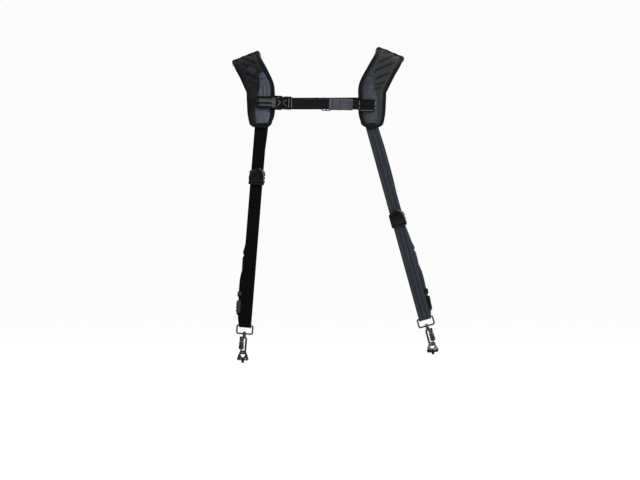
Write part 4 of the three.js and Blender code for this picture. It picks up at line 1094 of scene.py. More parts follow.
def on_pad(side, at, across, height):
    """Point that far above the pad's swollen front, found by a ray from outside."""
    start = pad_point(at, across, 30)
    hit = side.tree.ray_cast(Vector(start * MM), Vector(-at.normal))[0]
    foot = np.array(hit) / MM if hit is not None else pad_point(at, across, PAD_THICK / 2)
    return foot + height * at.normal


def panel_shape(side):
    rings, cloth = [], []
    slots = 22
    rows = 84
    for i in range(rows + 1):
        row = i / rows
        share = float(spline(PANEL_COLUMNS[side.name]["step"], row)) / PAD_STEPS
        at = pad_frame(side, share)
        run = float(np.interp(share, side.shares, side.runs))
        inner = -float(spline(PANEL_COLUMNS[side.name]["inner"], row)) * at.half
        outer = float(spline(PANEL_COLUMNS[side.name]["outer"], row)) * at.half
        places = np.linspace(inner, outer, slots)
        hem = [min(1, 0.35 + min(k, slots - 1 - k) * 0.4) for k in range(slots)]
        top = [
            on_pad(side, at, across, rise * (PANEL_THICK + panel_height(side, at, across)))
            for across, rise in zip(places, hem)
        ]
        low = [on_pad(side, at, across, 0.05) for across in places]
        rings.append(np.array(top + low[::-1]))
        front = [(across, run, FRONT_MARK) for across in places]
        cloth.append(front + [(across, run, 0) for across in places[::-1]])
    return loft(rings, cloth)


def panel_cut(side):
    """Width and length of the cloth that a front panel is cut from, in metres."""
    rows = PANEL_ROWS[side.name]
    runs, widths = [], []
    for row in rows:
        share = row.step / PAD_STEPS
        runs.append(float(np.interp(share, side.shares, side.runs)))
        widths.append((row.inner + row.outer) * pad_frame(side, share).half)
    return max(widths) * MM, (max(runs) - min(runs)) * MM


for side in SIDES:
    panel = make_piece(
        f"panel_{side.name}", panel_shape(side), NYLON[side.name],
        stands_for=[f"pad_panel_{side.name}"], smooth=60,
    )
    cut = panel_cut(side)
    print(panel.name, len(panel.data.polygons), "faces, cut", [round(v, 3) for v in cut], "m")

# %% [markdown]
# ## Webbing
# Each leg is one long strap: it comes from behind the pad, turns round the ring's bar, rises at the back,
# turns over the adjuster's middle bar and ends in a free tail. Straps are modelled directly as flat
# ribbons along their route, with rounded selvedges, because a remesh would eat anything so thin.

# %% Strap sizes and routes
STRAP_WIDTH = 25
STRAP_THICK = 2
TAIL_TUCK = 0.17
BELLY_BOW = 5
FREE_END = 92
ADJUSTER_HEIGHT = 26
ADJUSTER_THICK = 2.4
ADJUSTER_BAR = 2.4
RING_WIRE = 3.4
STRAP_LAYER = PAD_THICK / 2 + GAP + STRAP_THICK / 2
RING_TURN = RING_WIRE / 2 + 2 * GAP + STRAP_THICK / 2
FOLD_TURN = math.hypot(ADJUSTER_THICK, ADJUSTER_BAR) / 2 + GAP + STRAP_THICK / 2
TUCK_EASE = 0.4
BACK_EASE = 1.2
ADJUSTER_PITCH = (ADJUSTER_HEIGHT - ADJUSTER_BAR) / 2
DOUBLED_OFFSET = (STRAP_THICK + GAP) / 2
ADJUSTER_AT = 0.34
BACK_STRAP_AT = 0.838
BACK_BOW = 6
LAP_LENGTH = 30
TUCK_STEPS = 4  # steps of the front leg behind the pad
LEG_STEPS = 10  # and below it
RearRow = namedtuple("RearRow", "up back bow turn")
REAR_ROWS = [
    RearRow(0.0, 0.0, 0.0, 0.0),
    RearRow(0.04, 0.05, 0.35, 0.13),
    RearRow(0.13, 0.13, 0.55, 0.15),
    RearRow(0.17, 0.165, 0.6, 0.16),
    RearRow(0.235, 0.22, 0.8, 0.5),
    RearRow(0.3, 0.275, 0.97, 0.88),
    RearRow(0.38, 0.36, 1.0, 0.9),
    RearRow(0.49, 0.48, 0.88, 1.0),
    RearRow(0.61, 0.65, 0.7, 1.15),
    RearRow(0.75, 0.84, 0.48, 1.45),
    RearRow(0.89, 0.96, 0.18, 1.82),
    RearRow(1.0, 1.0, 0.0, 2.0),
]
REAR_COLUMNS = columns(REAR_ROWS)


def leg_tilt(side):
    return math.atan2(side.sign * (side.ring_span - side.tail_span), side.ring_drop - PAD_FRONT_DROP)


def ring_point(side):
    return np.array([side.sign * side.ring_span, -side.ring_reach, -side.ring_drop], float)


def ring_axis(side):
    return np.array([math.cos(leg_tilt(side)), 0, math.sin(leg_tilt(side))])


def front_leg(side):
    """Stops of the front leg, each a point and the direction of the webbing's width."""
    stops = []
    for i in range(TUCK_STEPS, -1, -1):
        at = pad_frame(side, TAIL_TUCK * i / TUCK_STEPS)
        stops.append((pad_point(at, 0, -STRAP_LAYER), at.outward * side.sign))
    top, across = stops[-1]
    bottom = ring_point(side) + [0, -RING_TURN, 0]
    for i in range(1, LEG_STEPS):
        share = i / LEG_STEPS
        point = top + (bottom - top) * share
        point[1] -= BELLY_BOW * math.sin(math.pi * share)
        stops.append((point, across + (ring_axis(side) - across) * share))
    return stops


def rear_curve(side):
    start = ring_point(side) + [0, RING_TURN, 0]
    end = pad_point(pad_frame(side, 1), 0, -STRAP_LAYER - TUCK_EASE)
    return np.array([[
        start[0] + (end[0] - start[0]) * row.up + side.sign * row.bow * side.hip_bow,
        start[1] + (end[1] - start[1]) * row.back,
        start[2] + (end[2] - start[2]) * row.up,
    ] for row in REAR_ROWS])


def rear_frame(side, share):
    """Point, tangent, width direction and outward face of the rear leg at a share of its rise."""
    place = float(np.interp(share, REAR_COLUMNS["up"], np.linspace(0, 1, len(REAR_ROWS))))
    point = spline(side.rear, place)
    tangent = heading(side.rear, place)
    turn = np.interp(place, np.linspace(0, 1, len(REAR_ROWS)), REAR_COLUMNS["turn"])
    across = ring_axis(side) * math.cos(math.pi / 2 * turn)
    across[1] += side.sign * math.sin(math.pi / 2 * turn)
    across = unit(across - (across @ tangent) * tangent)
    return SimpleNamespace(point=point, tangent=tangent, across=across, face=unit(np.cross(across, tangent)))


def rear_stop(side, share, offset):
    at = rear_frame(side, share)
    return at.point + offset * at.face, at.across


def adjuster_stop(side, distance, offset):
    at = rear_frame(side, ADJUSTER_AT)
    return at.point + distance * at.tangent + offset * at.face, at.across


def half_turn(centre, start, down, across, steps=8):
    angles = np.linspace(0, math.pi, steps + 1)
    return [(centre + start * math.cos(a) + down * math.sin(a), across) for a in angles]


def adjuster_turn(side, distance, over):
    at = rear_frame(side, ADJUSTER_AT)
    centre = adjuster_stop(side, distance, 0)[0]
    return half_turn(centre, -FOLD_TURN * at.face, over * FOLD_TURN * at.tangent, at.across)


def main_strap_stops(side):
    tilt = leg_tilt(side)
    down = np.array([math.sin(tilt), 0, -math.cos(tilt)])
    stops = front_leg(side)
    stops += half_turn(ring_point(side), np.array([0, -RING_TURN, 0]), RING_TURN * down, ring_axis(side))
    rise = side.rear_length
    bar_share, single_end = ADJUSTER_PITCH / rise, ADJUSTER_AT - FREE_END / rise
    stops += [rear_stop(side, single_end * i / 8, 0) for i in range(1, 9)]
    doubled = np.linspace(single_end + bar_share, ADJUSTER_AT - 2.4 * bar_share, 8)
    at_bars = [bars * ADJUSTER_PITCH for bars in (-1.3, -1, -0.5)]
    stops += [rear_stop(side, share, -DOUBLED_OFFSET) for share in doubled]
    stops += [adjuster_stop(side, distance, -FOLD_TURN) for distance in at_bars]
    stops += adjuster_turn(side, 0, 1)
    stops += [adjuster_stop(side, distance, FOLD_TURN) for distance in at_bars[::-1]]
    stops += [rear_stop(side, share, DOUBLED_OFFSET) for share in doubled[::-1]]
    return stops


def rear_strap_stops(side):
    rise = side.rear_length
    bar_at = ADJUSTER_AT + ADJUSTER_PITCH / rise
    lap = LAP_LENGTH / rise
    clear = 1.3 * ADJUSTER_PITCH
    stops = [rear_stop(side, bar_at + share * lap, -DOUBLED_OFFSET) for share in (1, 0.75, 0.5)]
    stops.append(adjuster_stop(side, clear, -FOLD_TURN))
    stops += adjuster_turn(side, ADJUSTER_PITCH, -1)
    stops.append(adjuster_stop(side, clear, FOLD_TURN))
    stops.append(rear_stop(side, bar_at + 0.5 * lap, DOUBLED_OFFSET))
    tail_across = -side.sign * pad_frame(side, 1).outward
    for share in np.linspace(bar_at + lap, 1, 15):
        settle = smoothstep(share, bar_at + lap, bar_at + 2 * lap)
        point, across = rear_stop(side, share, DOUBLED_OFFSET * (1 - settle))
        stops.append((point, across + (tail_across - across) * smoothstep(share, 0.8, 0.97)))
    for share in (0.97, 0.94, 0.91):
        at = pad_frame(side, share)
        stops.append((pad_point(at, 0, -STRAP_LAYER - TUCK_EASE), -side.sign * at.outward))
    return stops


for side in SIDES:
    side.rear = rear_curve(side)
    samples = np.array([spline(side.rear, share) for share in np.linspace(0, 1, 201)])
    side.rear_length = float(np.linalg.norm(np.diff(samples, axis=0), axis=1).sum())
    print(side.name, "rear leg is", round(side.rear_length), "mm long")


# %% Ribbons
def ribbon_section(width, thick):
    """Closed section of woven tape: flat faces and round selvedges."""
    half, edge = width / 2, thick / 2
    face = [half - 0.35 * edge, half - 1.2, half * 0.6, half * 0.2]
    top = [(x, edge * (0.8 if k == 0 else 1)) for k, x in enumerate(face)]
    top += [(-x, y) for x, y in top[::-1]]
    low = [(x, -y) for x, y in top[::-1]]
    return np.array([(half, 0)] + top + [(-half, 0)] + low)


def ribbon(stops, width, thick, refine=4):
    """Flat strap along stops, smoothed between them."""
    points = np.array([point for point, _ in stops])
    wide = np.array([unit(across) for _, across in stops])
    total = (len(stops) - 1) * refine
    path = np.array([spline(points, i / total) for i in range(total + 1)])
    across = np.array([spline(wide, i / total) for i in range(total + 1)])
    section = ribbon_section(width, thick)
    travelled = runs_along(path)
    rings, cloth = [], []
    for i in range(total + 1):
        tangent = unit(path[min(i + 1, total)] - path[max(i - 1, 0)])
        side_way = unit(across[i] - (across[i] @ tangent) * tangent)
        face = np.cross(side_way, tangent)
        rings.append(path[i] + np.outer(section[:, 0], side_way) + np.outer(section[:, 1], face))
        cloth.append([(x, travelled[i], 0) for x, _ in section])
    return loft(rings, cloth)


def back_strap_stops():
    ends = []
    for side in SIDES:
        at = pad_frame(side, BACK_STRAP_AT)
        offset = -STRAP_LAYER - BACK_EASE
        ends.append([(pad_point(at, share * at.half, offset), -at.tangent) for share in (0.5, 0, -0.5, -1)])
    right, left = ends
    stops = list(right)
    for i in range(1, 8):
        share = i / 8
        point = right[-1][0] + (left[-1][0] - right[-1][0]) * share
        point[1] += BACK_BOW * math.sin(math.pi * share)
        stops.append((point, right[0][1] + (left[0][1] - right[0][1]) * share))
    return stops + left[::-1]


LEG_FINISH = {"right": WEBBING, "left": LIT_LEG_WEBBING}  # the left leg's webbing is a paler copy of the same webbing: painted light
for side in SIDES:
    for part, stops in (("main", main_strap_stops(side)), ("rear", rear_strap_stops(side))):
        strap = make_piece(
            f"{part}_webbing_{side.name}", ribbon(stops, STRAP_WIDTH, STRAP_THICK), LEG_FINISH[side.name],
            stands_for=[f"{part}_strap_{side.name}"], smooth=50,
        )
        print(strap.name, len(strap.data.polygons), "faces")
back = ribbon(back_strap_stops(), STRAP_WIDTH, STRAP_THICK)
make_piece("back_webbing", back, WEBBING, stands_for=["back_strap"])

# %% [markdown]
# ## Rings, hooks and fasteners
# Each leg hangs a ring with a swivel boss, a locking snap hook riveted into it, and a fastener whose eye
# sits on the hook's wire. They are turned and cast parts, so lathes and bent bars make them, in the same
# local frames as the joints: the ring leans with its leg, the hook turns about its stem, the gate about
# its pin and the fastener about the wire.

# %% Hardware sizes
RING_WIDTH = 35
RING_DEPTH = 20 - RING_WIRE
RING_CORNER = 2.8
BOSS_RADIUS = 3.8
BOSS_HEIGHT = 5
STEM_RADIUS = 2
RIVET_HEIGHT = 1.6
SHOULDER_RADIUS = 3.6
SHOULDER_HEIGHT = 3.2
HOOK_HALF = 7
HOOK_HEIGHT = 32
HOOK_WIRE = 4
HOOK_CORNER = 4
NOSE_HEIGHT = 6.6
GATE_RADIUS = 1.9
BARREL_RADIUS = 5.1
BARREL_LENGTH = 16
KNUCKLE_RADIUS = 2.3
PIN_RADIUS = 0.8
EAR_THICK = 1.3
SHOULDER_TOP = -RING_DEPTH - BOSS_HEIGHT / 2 - GAP
HOOK_TOP = SHOULDER_TOP - SHOULDER_HEIGHT - HOOK_WIRE / 2
WIRE_LEVEL = HOOK_TOP - HOOK_HEIGHT
NOSE_TOP = WIRE_LEVEL + NOSE_HEIGHT
EAR_RADIUS = KNUCKLE_RADIUS + 0.3
EAR_INSIDE = KNUCKLE_RADIUS + GAP
GATE_HINGE = HOOK_TOP - HOOK_WIRE / 2 - GAP - KNUCKLE_RADIUS - 0.2
EYE_HALF = 7.5
EYE_THICK = 4.5
EYE_HOLE = 10
EYE_FLARE = 3.4
EYE_CORNER = 6.5
EYE_TURN = 72
HOLE_LEVEL = -(EYE_HOLE / 2 - HOOK_WIRE / 2 - GAP - 0.2)
EYE_TOP = HOLE_LEVEL + EYE_HOLE / 2 + 3.6
BASE_RADIUS = 12
FASTENER_DROP = 14.2
WASHER_TOP = -FASTENER_DROP + 1.5
BASE_LOW = WASHER_TOP + GAP
BASE_TOP = BASE_LOW + 4
STUD_RADIUS = 6.35 / 2
STUD_LENGTH = 5
ALONG_X = turned("Y", 90)
ALONG_Y = turned("X", 90)


# %% Round parts
def sleeve(inner, outer, low, high, chamfer=0.4):
    """Round tube about Z with chamfered ends."""
    return lathe([
        (inner, low), (outer - chamfer, low), (outer, low + chamfer),
        (outer, high - chamfer), (outer - chamfer, high), (inner, high),
    ], closed=True)


def pin_bar(radius, length, head=0.0):
    """Pin about Z, centred, with domed heads that stand out by head."""
    end = length / 2
    wide = radius + head
    rows = [(0.4 * wide, -end - head), (wide, -end - 0.4 * head), (wide, -end)] if head else [(radius, -end)]
    rows += [(radius, -end + 0.01), (radius, end - 0.01)]
    rows += [(wide, end), (wide, end + 0.4 * head), (0.4 * wide, end + head)] if head else [(radius, end)]
    return lathe(rows, sides=20)


def knurl(shape, sides, low, high, depth):
    """Presses every second line of a lathe's points in, between two heights."""
    for i, point in enumerate(shape.points):
        if low < point[2] < high and i % sides % 2:
            point[:2] *= 1 - depth / np.linalg.norm(point[:2])
    return shape


# %% Ring and hook
def ring_shape():
    half = (RING_WIDTH - RING_WIRE) / 2
    start = STEM_RADIUS + GAP + 0.7
    run = [
        (start, 0, -RING_DEPTH), (half, 0, -RING_DEPTH), (half, 0, 0),
        (-half, 0, 0), (-half, 0, -RING_DEPTH), (-start, 0, -RING_DEPTH),
    ]
    shape = sweep(rounded_run(run, RING_CORNER), RING_WIRE / 2, sides=18)
    low, high = -RING_DEPTH - BOSS_HEIGHT / 2, -RING_DEPTH + BOSS_HEIGHT / 2
    return shape.join(sleeve(STEM_RADIUS + GAP, BOSS_RADIUS, low, high, 0.7))


def ear_shape():
    """Cheek of the gate's hinge: a strap with a round lower end."""
    angles = np.linspace(math.pi, 2 * math.pi, 14)
    outline = [(HOOK_HALF + EAR_RADIUS * math.cos(a), GATE_HINGE + EAR_RADIUS * math.sin(a)) for a in angles]
    outline += [(HOOK_HALF + EAR_RADIUS, HOOK_TOP), (HOOK_HALF - EAR_RADIUS, HOOK_TOP)]
    return plate([outline], EAR_THICK, 0.35)


def hook_shape():
    half = HOOK_HALF
    corners = [
        (half, HOOK_TOP), (-half, HOOK_TOP), (-half, WIRE_LEVEL), (half, WIRE_LEVEL), (half, NOSE_TOP - 1),
    ]
    bend = rounded_run([(x, 0, z) for x, z in corners], HOOK_CORNER, steps=8)
    radii = [HOOK_WIRE / 2] * len(bend) + [0.88 * HOOK_WIRE / 2, 0.6 * HOOK_WIRE / 2]
    bend += [np.array([half, 0, NOSE_TOP - 0.35]), np.array([half, 0, NOSE_TOP])]
    shape = sweep(bend, radii, sides=18)
    head = -RING_DEPTH + BOSS_HEIGHT / 2 + GAP
    rim = 0.9 * SHOULDER_RADIUS
    shape.join(lathe([(STEM_RADIUS, HOOK_TOP), (STEM_RADIUS, head + 0.5)], sides=20))
    rivet = [(2, head), (rim, head + 0.1), (rim, head + 0.8), (0.67 * rim, head + RIVET_HEIGHT)]
    shape.join(lathe(rivet, sides=28))
    shape.join(lathe([
        (2.1, HOOK_TOP - 0.6), (0.83 * SHOULDER_RADIUS, HOOK_TOP + 1.4), (SHOULDER_RADIUS, HOOK_TOP + 3),
        (SHOULDER_RADIUS, SHOULDER_TOP - 0.4), (SHOULDER_RADIUS - 0.4, SHOULDER_TOP),
    ], sides=28))
    width = 2 * (EAR_INSIDE + EAR_THICK)
    shape.join(plate([rounded_box(2 * EAR_RADIUS, HOOK_WIRE, 1, half, HOOK_TOP)], width, 0.5))
    for end in (1, -1):
        shape.join(ear_shape(), turned("X", 0, (0, end * (EAR_INSIDE + EAR_THICK / 2), 0)))
    return shape.join(pin_bar(PIN_RADIUS, width, 0.35), turned("X", 90, (half, 0, GATE_HINGE)))


# %% Gate, eye and washer
def gate_shape():
    """Gate about its own hinge pin, with a screw barrel that has two grooves and a fluted grip."""
    tip = NOSE_TOP + GAP - GATE_HINGE
    top = -EAR_RADIUS - GAP
    low = top - BARREL_LENGTH
    rows = [(0.8 * GATE_RADIUS, tip), (GATE_RADIUS, tip + 0.4), (GATE_RADIUS, low)]
    rows += [(0.84 * BARREL_RADIUS, low), (BARREL_RADIUS, low + 0.7), (BARREL_RADIUS, low + 1.4)]
    rows.append((BARREL_RADIUS, top - 8))
    for level in (5.9, 2.5):
        groove = top - level
        rows += [(BARREL_RADIUS, groove - 1.5), (BARREL_RADIUS - 0.9, groove - 1.1)]
        rows += [(BARREL_RADIUS - 0.9, groove - 0.4), (BARREL_RADIUS, groove)]
    rows += [(BARREL_RADIUS, top - 0.6), (0.86 * BARREL_RADIUS, top), (GATE_RADIUS, top), (GATE_RADIUS, -1.4)]
    sides = 48
    shape = knurl(lathe(rows, sides=sides), sides, low + 1, top - 7.6, 0.35)
    knuckle = sleeve(PIN_RADIUS + GAP, KNUCKLE_RADIUS, -KNUCKLE_RADIUS, KNUCKLE_RADIUS)
    return shape.join(knuckle, ALONG_Y)


def arc_through(start, corner, end, steps=7):
    """Points of a quadratic curve, without its start."""
    start, corner, end = np.array(start), np.array(corner), np.array(end)
    shares = np.arange(1, steps + 1) / steps
    return [tuple((1 - t) ** 2 * start + 2 * t * (1 - t) * corner + t * t * end) for t in shares]


def eye_shape():
    """Fastener about the middle of the hook's wire: eye plate, round base and threaded stud."""
    foot, inner, shoulder = BASE_TOP - 1, EYE_HALF - EYE_CORNER, EYE_TOP - EYE_CORNER
    hip = EYE_HALF + EYE_FLARE
    belly = foot + 0.85 * (shoulder - foot)
    outline = [(-hip, foot), (hip, foot)] + arc_through((hip, foot), (hip - 0.6, belly), (EYE_HALF, shoulder))
    outline += arc_through(outline[-1], (EYE_HALF, EYE_TOP), (inner, EYE_TOP))
    outline.append((-inner, EYE_TOP))
    outline += arc_through((-inner, EYE_TOP), (-EYE_HALF, EYE_TOP), (-EYE_HALF, shoulder))
    outline += arc_through((-EYE_HALF, shoulder), (0.6 - hip, belly), (-hip, foot))[:-1]
    shape = plate([outline, circle(EYE_HOLE / 2, 0, HOLE_LEVEL, sides=40)], EYE_THICK, 0.9, steps=3)
    sides = 72
    base = lathe([
        (BASE_RADIUS - 0.7, BASE_LOW), (BASE_RADIUS, BASE_LOW + 0.6), (BASE_RADIUS, BASE_LOW + 0.9),
        (BASE_RADIUS, BASE_TOP - 1), (BASE_RADIUS - 0.9, BASE_TOP - 0.2),
        (EYE_HALF + 2.6, BASE_TOP), (EYE_HALF + 1.6, BASE_TOP + 0.5),
    ], sides=sides)
    shape.join(knurl(base, sides, BASE_LOW + 0.7, BASE_TOP - 0.9, 0.3))
    low = -FASTENER_DROP - STUD_LENGTH
    thread = [(STUD_RADIUS - 0.9, low)]
    for turn in range(5):
        thread += [(STUD_RADIUS, low + 0.7 + 1.2 * turn), (STUD_RADIUS - 0.6, low + 1.3 + 1.2 * turn)]
    return shape.join(lathe(thread + [(STUD_RADIUS - 0.6, BASE_LOW + 1)], sides=24))


def washer_shape():
    return sleeve(STUD_RADIUS + GAP, BASE_RADIUS - 0.6, -FASTENER_DROP, WASHER_TOP, 0.3)


def add_hardware(side):
    ring = turned("Y", -math.degrees(leg_tilt(side)), ring_point(side))
    hook = ring @ turned("Z", side.hook_turn)
    plumb = hook[:3, :3].T @ np.array([0, 0, -1])
    wire = hook @ turned("X", math.degrees(math.atan2(plumb[1], -plumb[2])), (0, 0, WIRE_LEVEL))
    fastener = wire @ turned("Z", side.sign * EYE_TURN)
    gate = hook @ turned("Z", 0, (HOOK_HALF, 0, GATE_HINGE))
    name = side.name
    rows = [
        ("ring", ring_shape(), METAL, "root", "black_metal", "swivel_ring", ring),
        ("snap_hook", hook_shape(), METAL, f"hook_{name}", "black_metal", "hook", hook),
        ("gate_barrel", gate_shape(), METAL, f"gate_{name}", "black_metal", "hook_gate", gate),
        ("eye", eye_shape(), METAL, f"fastener_{name}", "black_metal", "fastener_eye", fastener),
        ("washer", washer_shape(), RUBBER, f"fastener_{name}", "rubber", "fastener_washer", fastener),
    ]
    for piece, shape, material, body, slot, node, matrix in rows:
        made = make_hard(f"{piece}_{name}", shape, material, body, f"{node}_{name}", matrix)
        print(made.name, len(made.data.polygons), "faces, rides on", body)


for side in SIDES:
    add_hardware(side)

# %% [markdown]
# ## Clamps, slides and keepers
# The hard pieces on the webbing are moulded plastic with round edges: a three-bar adjuster, a keeper that
# holds the free end, and two clamps on each leg. A clamp is a flat sleeve with two ears and a lever on a
# pin. The lever is a shield with a domed face; a thin pale bead along its edge is a painted highlight.

# %% Clamp sizes
BUMPER_WIDTH = 31
BUMPER_HEIGHT = 28
BUMPER_WALL = 2.4
BUMPER_DEPTH = STRAP_THICK + 4 * GAP + 2 * BUMPER_WALL
LEVER_LENGTH = 33
LEVER_PIN = 2.6
LEVER_SEAT = -(BUMPER_DEPTH / 2 + GAP + LEVER_PIN)
LEVER_HINGE = -BUMPER_HEIGHT / 2 + LEVER_PIN
BUMPER_EAR = 1.8
BUMPER_PIN = 1
LUG_PITCH = 7


def clamp_shape():
    outline = rounded_box(BUMPER_WIDTH, BUMPER_DEPTH, 2.4)
    slot = rounded_box(STRAP_WIDTH + 4 * GAP, STRAP_THICK + 4 * GAP, 1)
    shape = Shape().join(plate([outline, slot], BUMPER_HEIGHT, 0.9), ALONG_Y)
    angles = np.linspace(math.pi / 2, 1.5 * math.pi, 12)
    ear = [(LEVER_SEAT + LEVER_PIN * math.cos(a), LEVER_HINGE + LEVER_PIN * math.sin(a)) for a in angles]
    ear += [(-BUMPER_DEPTH / 4, LEVER_HINGE - LEVER_PIN), (-BUMPER_DEPTH / 4, LEVER_HINGE + LEVER_PIN)]
    for end in (1, -1):
        place = (end * (BUMPER_WIDTH - BUMPER_EAR) / 2, 0, 0)
        shape.join(plate([ear], BUMPER_EAR, 0.4), turned("Z", 90, place))
    shape.join(pin_bar(BUMPER_PIN, BUMPER_WIDTH - BUMPER_EAR), turned("Y", 90, (0, LEVER_SEAT, LEVER_HINGE)))
    for step in (-1, 0, 1):
        lug = lathe([(2.3, -1), (2.3, 0.5), (1.9, 1.0), (0.9, 1.25)], sides=20)
        shape.join(lug, turned("Y", 90, (BUMPER_WIDTH / 2, 0, step * LUG_PITCH)))
    return shape


def lever_shape():
    """Domed shield on a hinge barrel, about its own hinge."""
    half = BUMPER_WIDTH / 2
    neck = half - BUMPER_EAR - GAP
    tip = LEVER_LENGTH - LEVER_PIN
    lip, hip, low = LEVER_PIN + 1, LEVER_PIN + 2.5, 0.7 * LEVER_PIN
    corner = (0.5 * half, 0.95 * tip)
    flank = (half + 2.4, 0.62 * tip)
    outline = [(-neck, low), (neck, low), (neck, lip), (half, hip)]
    outline += arc_through((half, hip), flank, corner)
    outline += arc_through(corner, (0, 1.06 * tip), (-corner[0], corner[1]))
    outline += arc_through((-corner[0], corner[1]), (-flank[0], flank[1]), (-half, hip)) + [(-neck, lip)]
    rows = [(0.9, 2.6), (0.97, 2.3), (1.0, 1.6), (1.0, 0.2), (0.985, -0.5), (0.94, -1.0), (0.88, -1.2)]
    rows += [(0.86, -1.1), (0.8, -1.25), (0.62, -1.7), (0.36, -2.0), (0.12, -2.1)]
    barrel = sleeve(BUMPER_PIN + GAP, LEVER_PIN, -neck, neck, 0.5)
    return dome(outline, rows).join(barrel, ALONG_X)


def adjuster_shape():
    slot_height = ADJUSTER_PITCH - ADJUSTER_BAR
    slot_width = STRAP_WIDTH + 2 * GAP + 0.6
    slots = [rounded_box(slot_width, slot_height, 1.2, 0, row * ADJUSTER_PITCH / 2) for row in (1, -1)]
    return plate([rounded_box(34, ADJUSTER_HEIGHT, 3)] + slots, ADJUSTER_THICK, 0.8)


def keeper_shape():
    inner = 2 * STRAP_THICK + 5 * GAP
    width = STRAP_WIDTH + 4 * GAP
    hole = rounded_box(width, inner, 1.2)
    return Shape().join(plate([rounded_box(width + 3.2, inner + 3.2, 2.4), hole], 9, 0.7), ALONG_Y)


def add_highlight_beads(name, runs, radius, body, matrix):
    """Thin pale beads along the edges of a moulded piece: painted highlights."""
    shape = Shape()
    for run in runs:
        shape.join(sweep([np.array(point, float) for point in run], radius, sides=8))
    return make_piece(name, shape, PAINTED_HIGHLIGHT_PLASTIC, body=body, matrix=matrix, smooth=60)


def shield_highlight_line(way):
    """Line down one side of a lever's domed shield, where a pale bead paints a highlight."""
    half, tip = BUMPER_WIDTH / 2, LEVER_LENGTH - LEVER_PIN
    points = arc_through((0.1 * half, 1.0 * tip), (0.66 * half, 1.0 * tip), (0.86 * half, 0.66 * tip))
    points += arc_through(points[-1], (1.0 * half, 0.4 * tip), (0.93 * half, 0.14 * tip))
    return [(way * x, -1.75, z) for x, z in points]


def add_clamp(which, side, matrix):
    hinge = matrix @ turned("X", 0, (0, LEVER_SEAT, LEVER_HINGE))
    name = side.name
    clamp, node = f"{which}_clamp_{name}", f"{which}_bumper_{name}"
    make_hard(clamp, clamp_shape(), PLASTIC, "root", node, matrix)
    make_hard(
        f"{which}_shield_{name}", lever_shape(), PLASTIC, f"{which}_lever_{name}",
        f"{which}_bumper_lever_{name}", hinge,
    )
    way = math.copysign(1, matrix[0][0])
    add_highlight_beads(f"{which}_shield_edge_{name}", [shield_highlight_line(way)], 0.95, f"{which}_lever_{name}", hinge)


def add_slides(side):
    seats = [rear_frame(side, share) for share in (ADJUSTER_AT, side.keeper, side.rear_bumper)]
    adjuster, keeper, rear = seats
    slides = [("adjuster", adjuster_shape(), adjuster), ("strap_keeper", keeper_shape(), keeper)]
    for name, shape, at in slides:
        seat = seat_on(at.point, at.across, at.tangent)
        piece, node = f"{name}_piece_{side.name}", f"{name}_{side.name}"
        make_hard(piece, shape, PLASTIC, "root", node, seat)
    add_clamp("rear", side, seat_on(rear.point, -rear.across, rear.tangent))
    leg = front_leg(side)
    place = TUCK_STEPS + LEG_STEPS * side.front_bumper
    (low, low_across), (high, high_across) = leg[int(place)], leg[int(place) + 1]
    across = low_across + (high_across - low_across) * (place % 1)
    rise = unit(low - high)
    across = across - (across @ rise) * rise
    add_clamp("front", side, seat_on(low + (high - low) * (place % 1), across, rise))
    print(side.name, "adjuster, keeper and two clamps")


for side in SIDES:
    add_slides(side)

# %% [markdown]
# ## Chest strap
# Two frames slide on the pads, a side-release buckle closes the strap, and a tri-glide joins the 20 mm
# webbing to a wider, softer elastic. All of it lies on one straight line between the sliders, so its
# pieces are built along X in one frame. The webbing turns round each bar, as it does on the real strap.

# %% Chest strap sizes and frame
CHEST_WIDTH = 19
CHEST_THICK = 1.7
ELASTIC_WIDTH = 23
ELASTIC_THICK = 2.2
PANEL_LAYER = 1.6
BAR_RADIUS = 1.5
CHEST_TURN = BAR_RADIUS + GAP + CHEST_THICK / 2
ELASTIC_TURN = BAR_RADIUS + GAP + ELASTIC_THICK / 2
SLIDER_STAND = 5.2
SLIDER_DEPTH = SLIDER_STAND + BAR_RADIUS - 2 * GAP
SLIDER_BAR = 8
SLIDER_LENGTH = 34
BAR_INSET = 0.6
MALE_START = SLIDER_LENGTH / 2 + 1.4
MALE_LENGTH = 19
FEMALE_START = MALE_START + MALE_LENGTH + GAP
FEMALE_LENGTH = 19
BUCKLE_HEIGHT = 26
BUCKLE_CORNER = 4
TRIGLIDE_AT = 0.605
TRIGLIDE_PITCH = 8.5
TRIGLIDE_BAR = 2.2
ELASTIC_TO = 0.86
WEB_OPENING = CHEST_WIDTH + 2 * GAP
LONG_LAP = 8  # a lap longer than this lies flat on its own webbing


def slider_seat(side):
    """Middle of a slider above its pad, and the pad's tangent there."""
    level = -side.slider_level / PAD_FRONT_DROP
    row = next(i for i in range(len(PAD_ROWS)) if PAD_ROWS[i + 1].drop <= level)
    within = (PAD_ROWS[row].drop - level) / (PAD_ROWS[row].drop - PAD_ROWS[row + 1].drop)
    at = pad_frame(side, (row + within) / (len(PAD_ROWS) - 1))
    height = PAD_THICK / 2 + CROWN_RISE + GAP + PANEL_LAYER + SLIDER_STAND
    return pad_point(at, -side.slider_inset, height), at.tangent


(chest_right, lean_right), (chest_left, lean_left) = [slider_seat(side) for side in SIDES]
CHEST = seat_on(chest_right, chest_left - chest_right, lean_right + lean_left)
CHEST_SPAN = float(np.linalg.norm(chest_left - chest_right))
GLIDE_AT = TRIGLIDE_AT * CHEST_SPAN
ELASTIC_END = ELASTIC_TO * CHEST_SPAN
print("chest strap spans", round(CHEST_SPAN), "mm between its sliders")


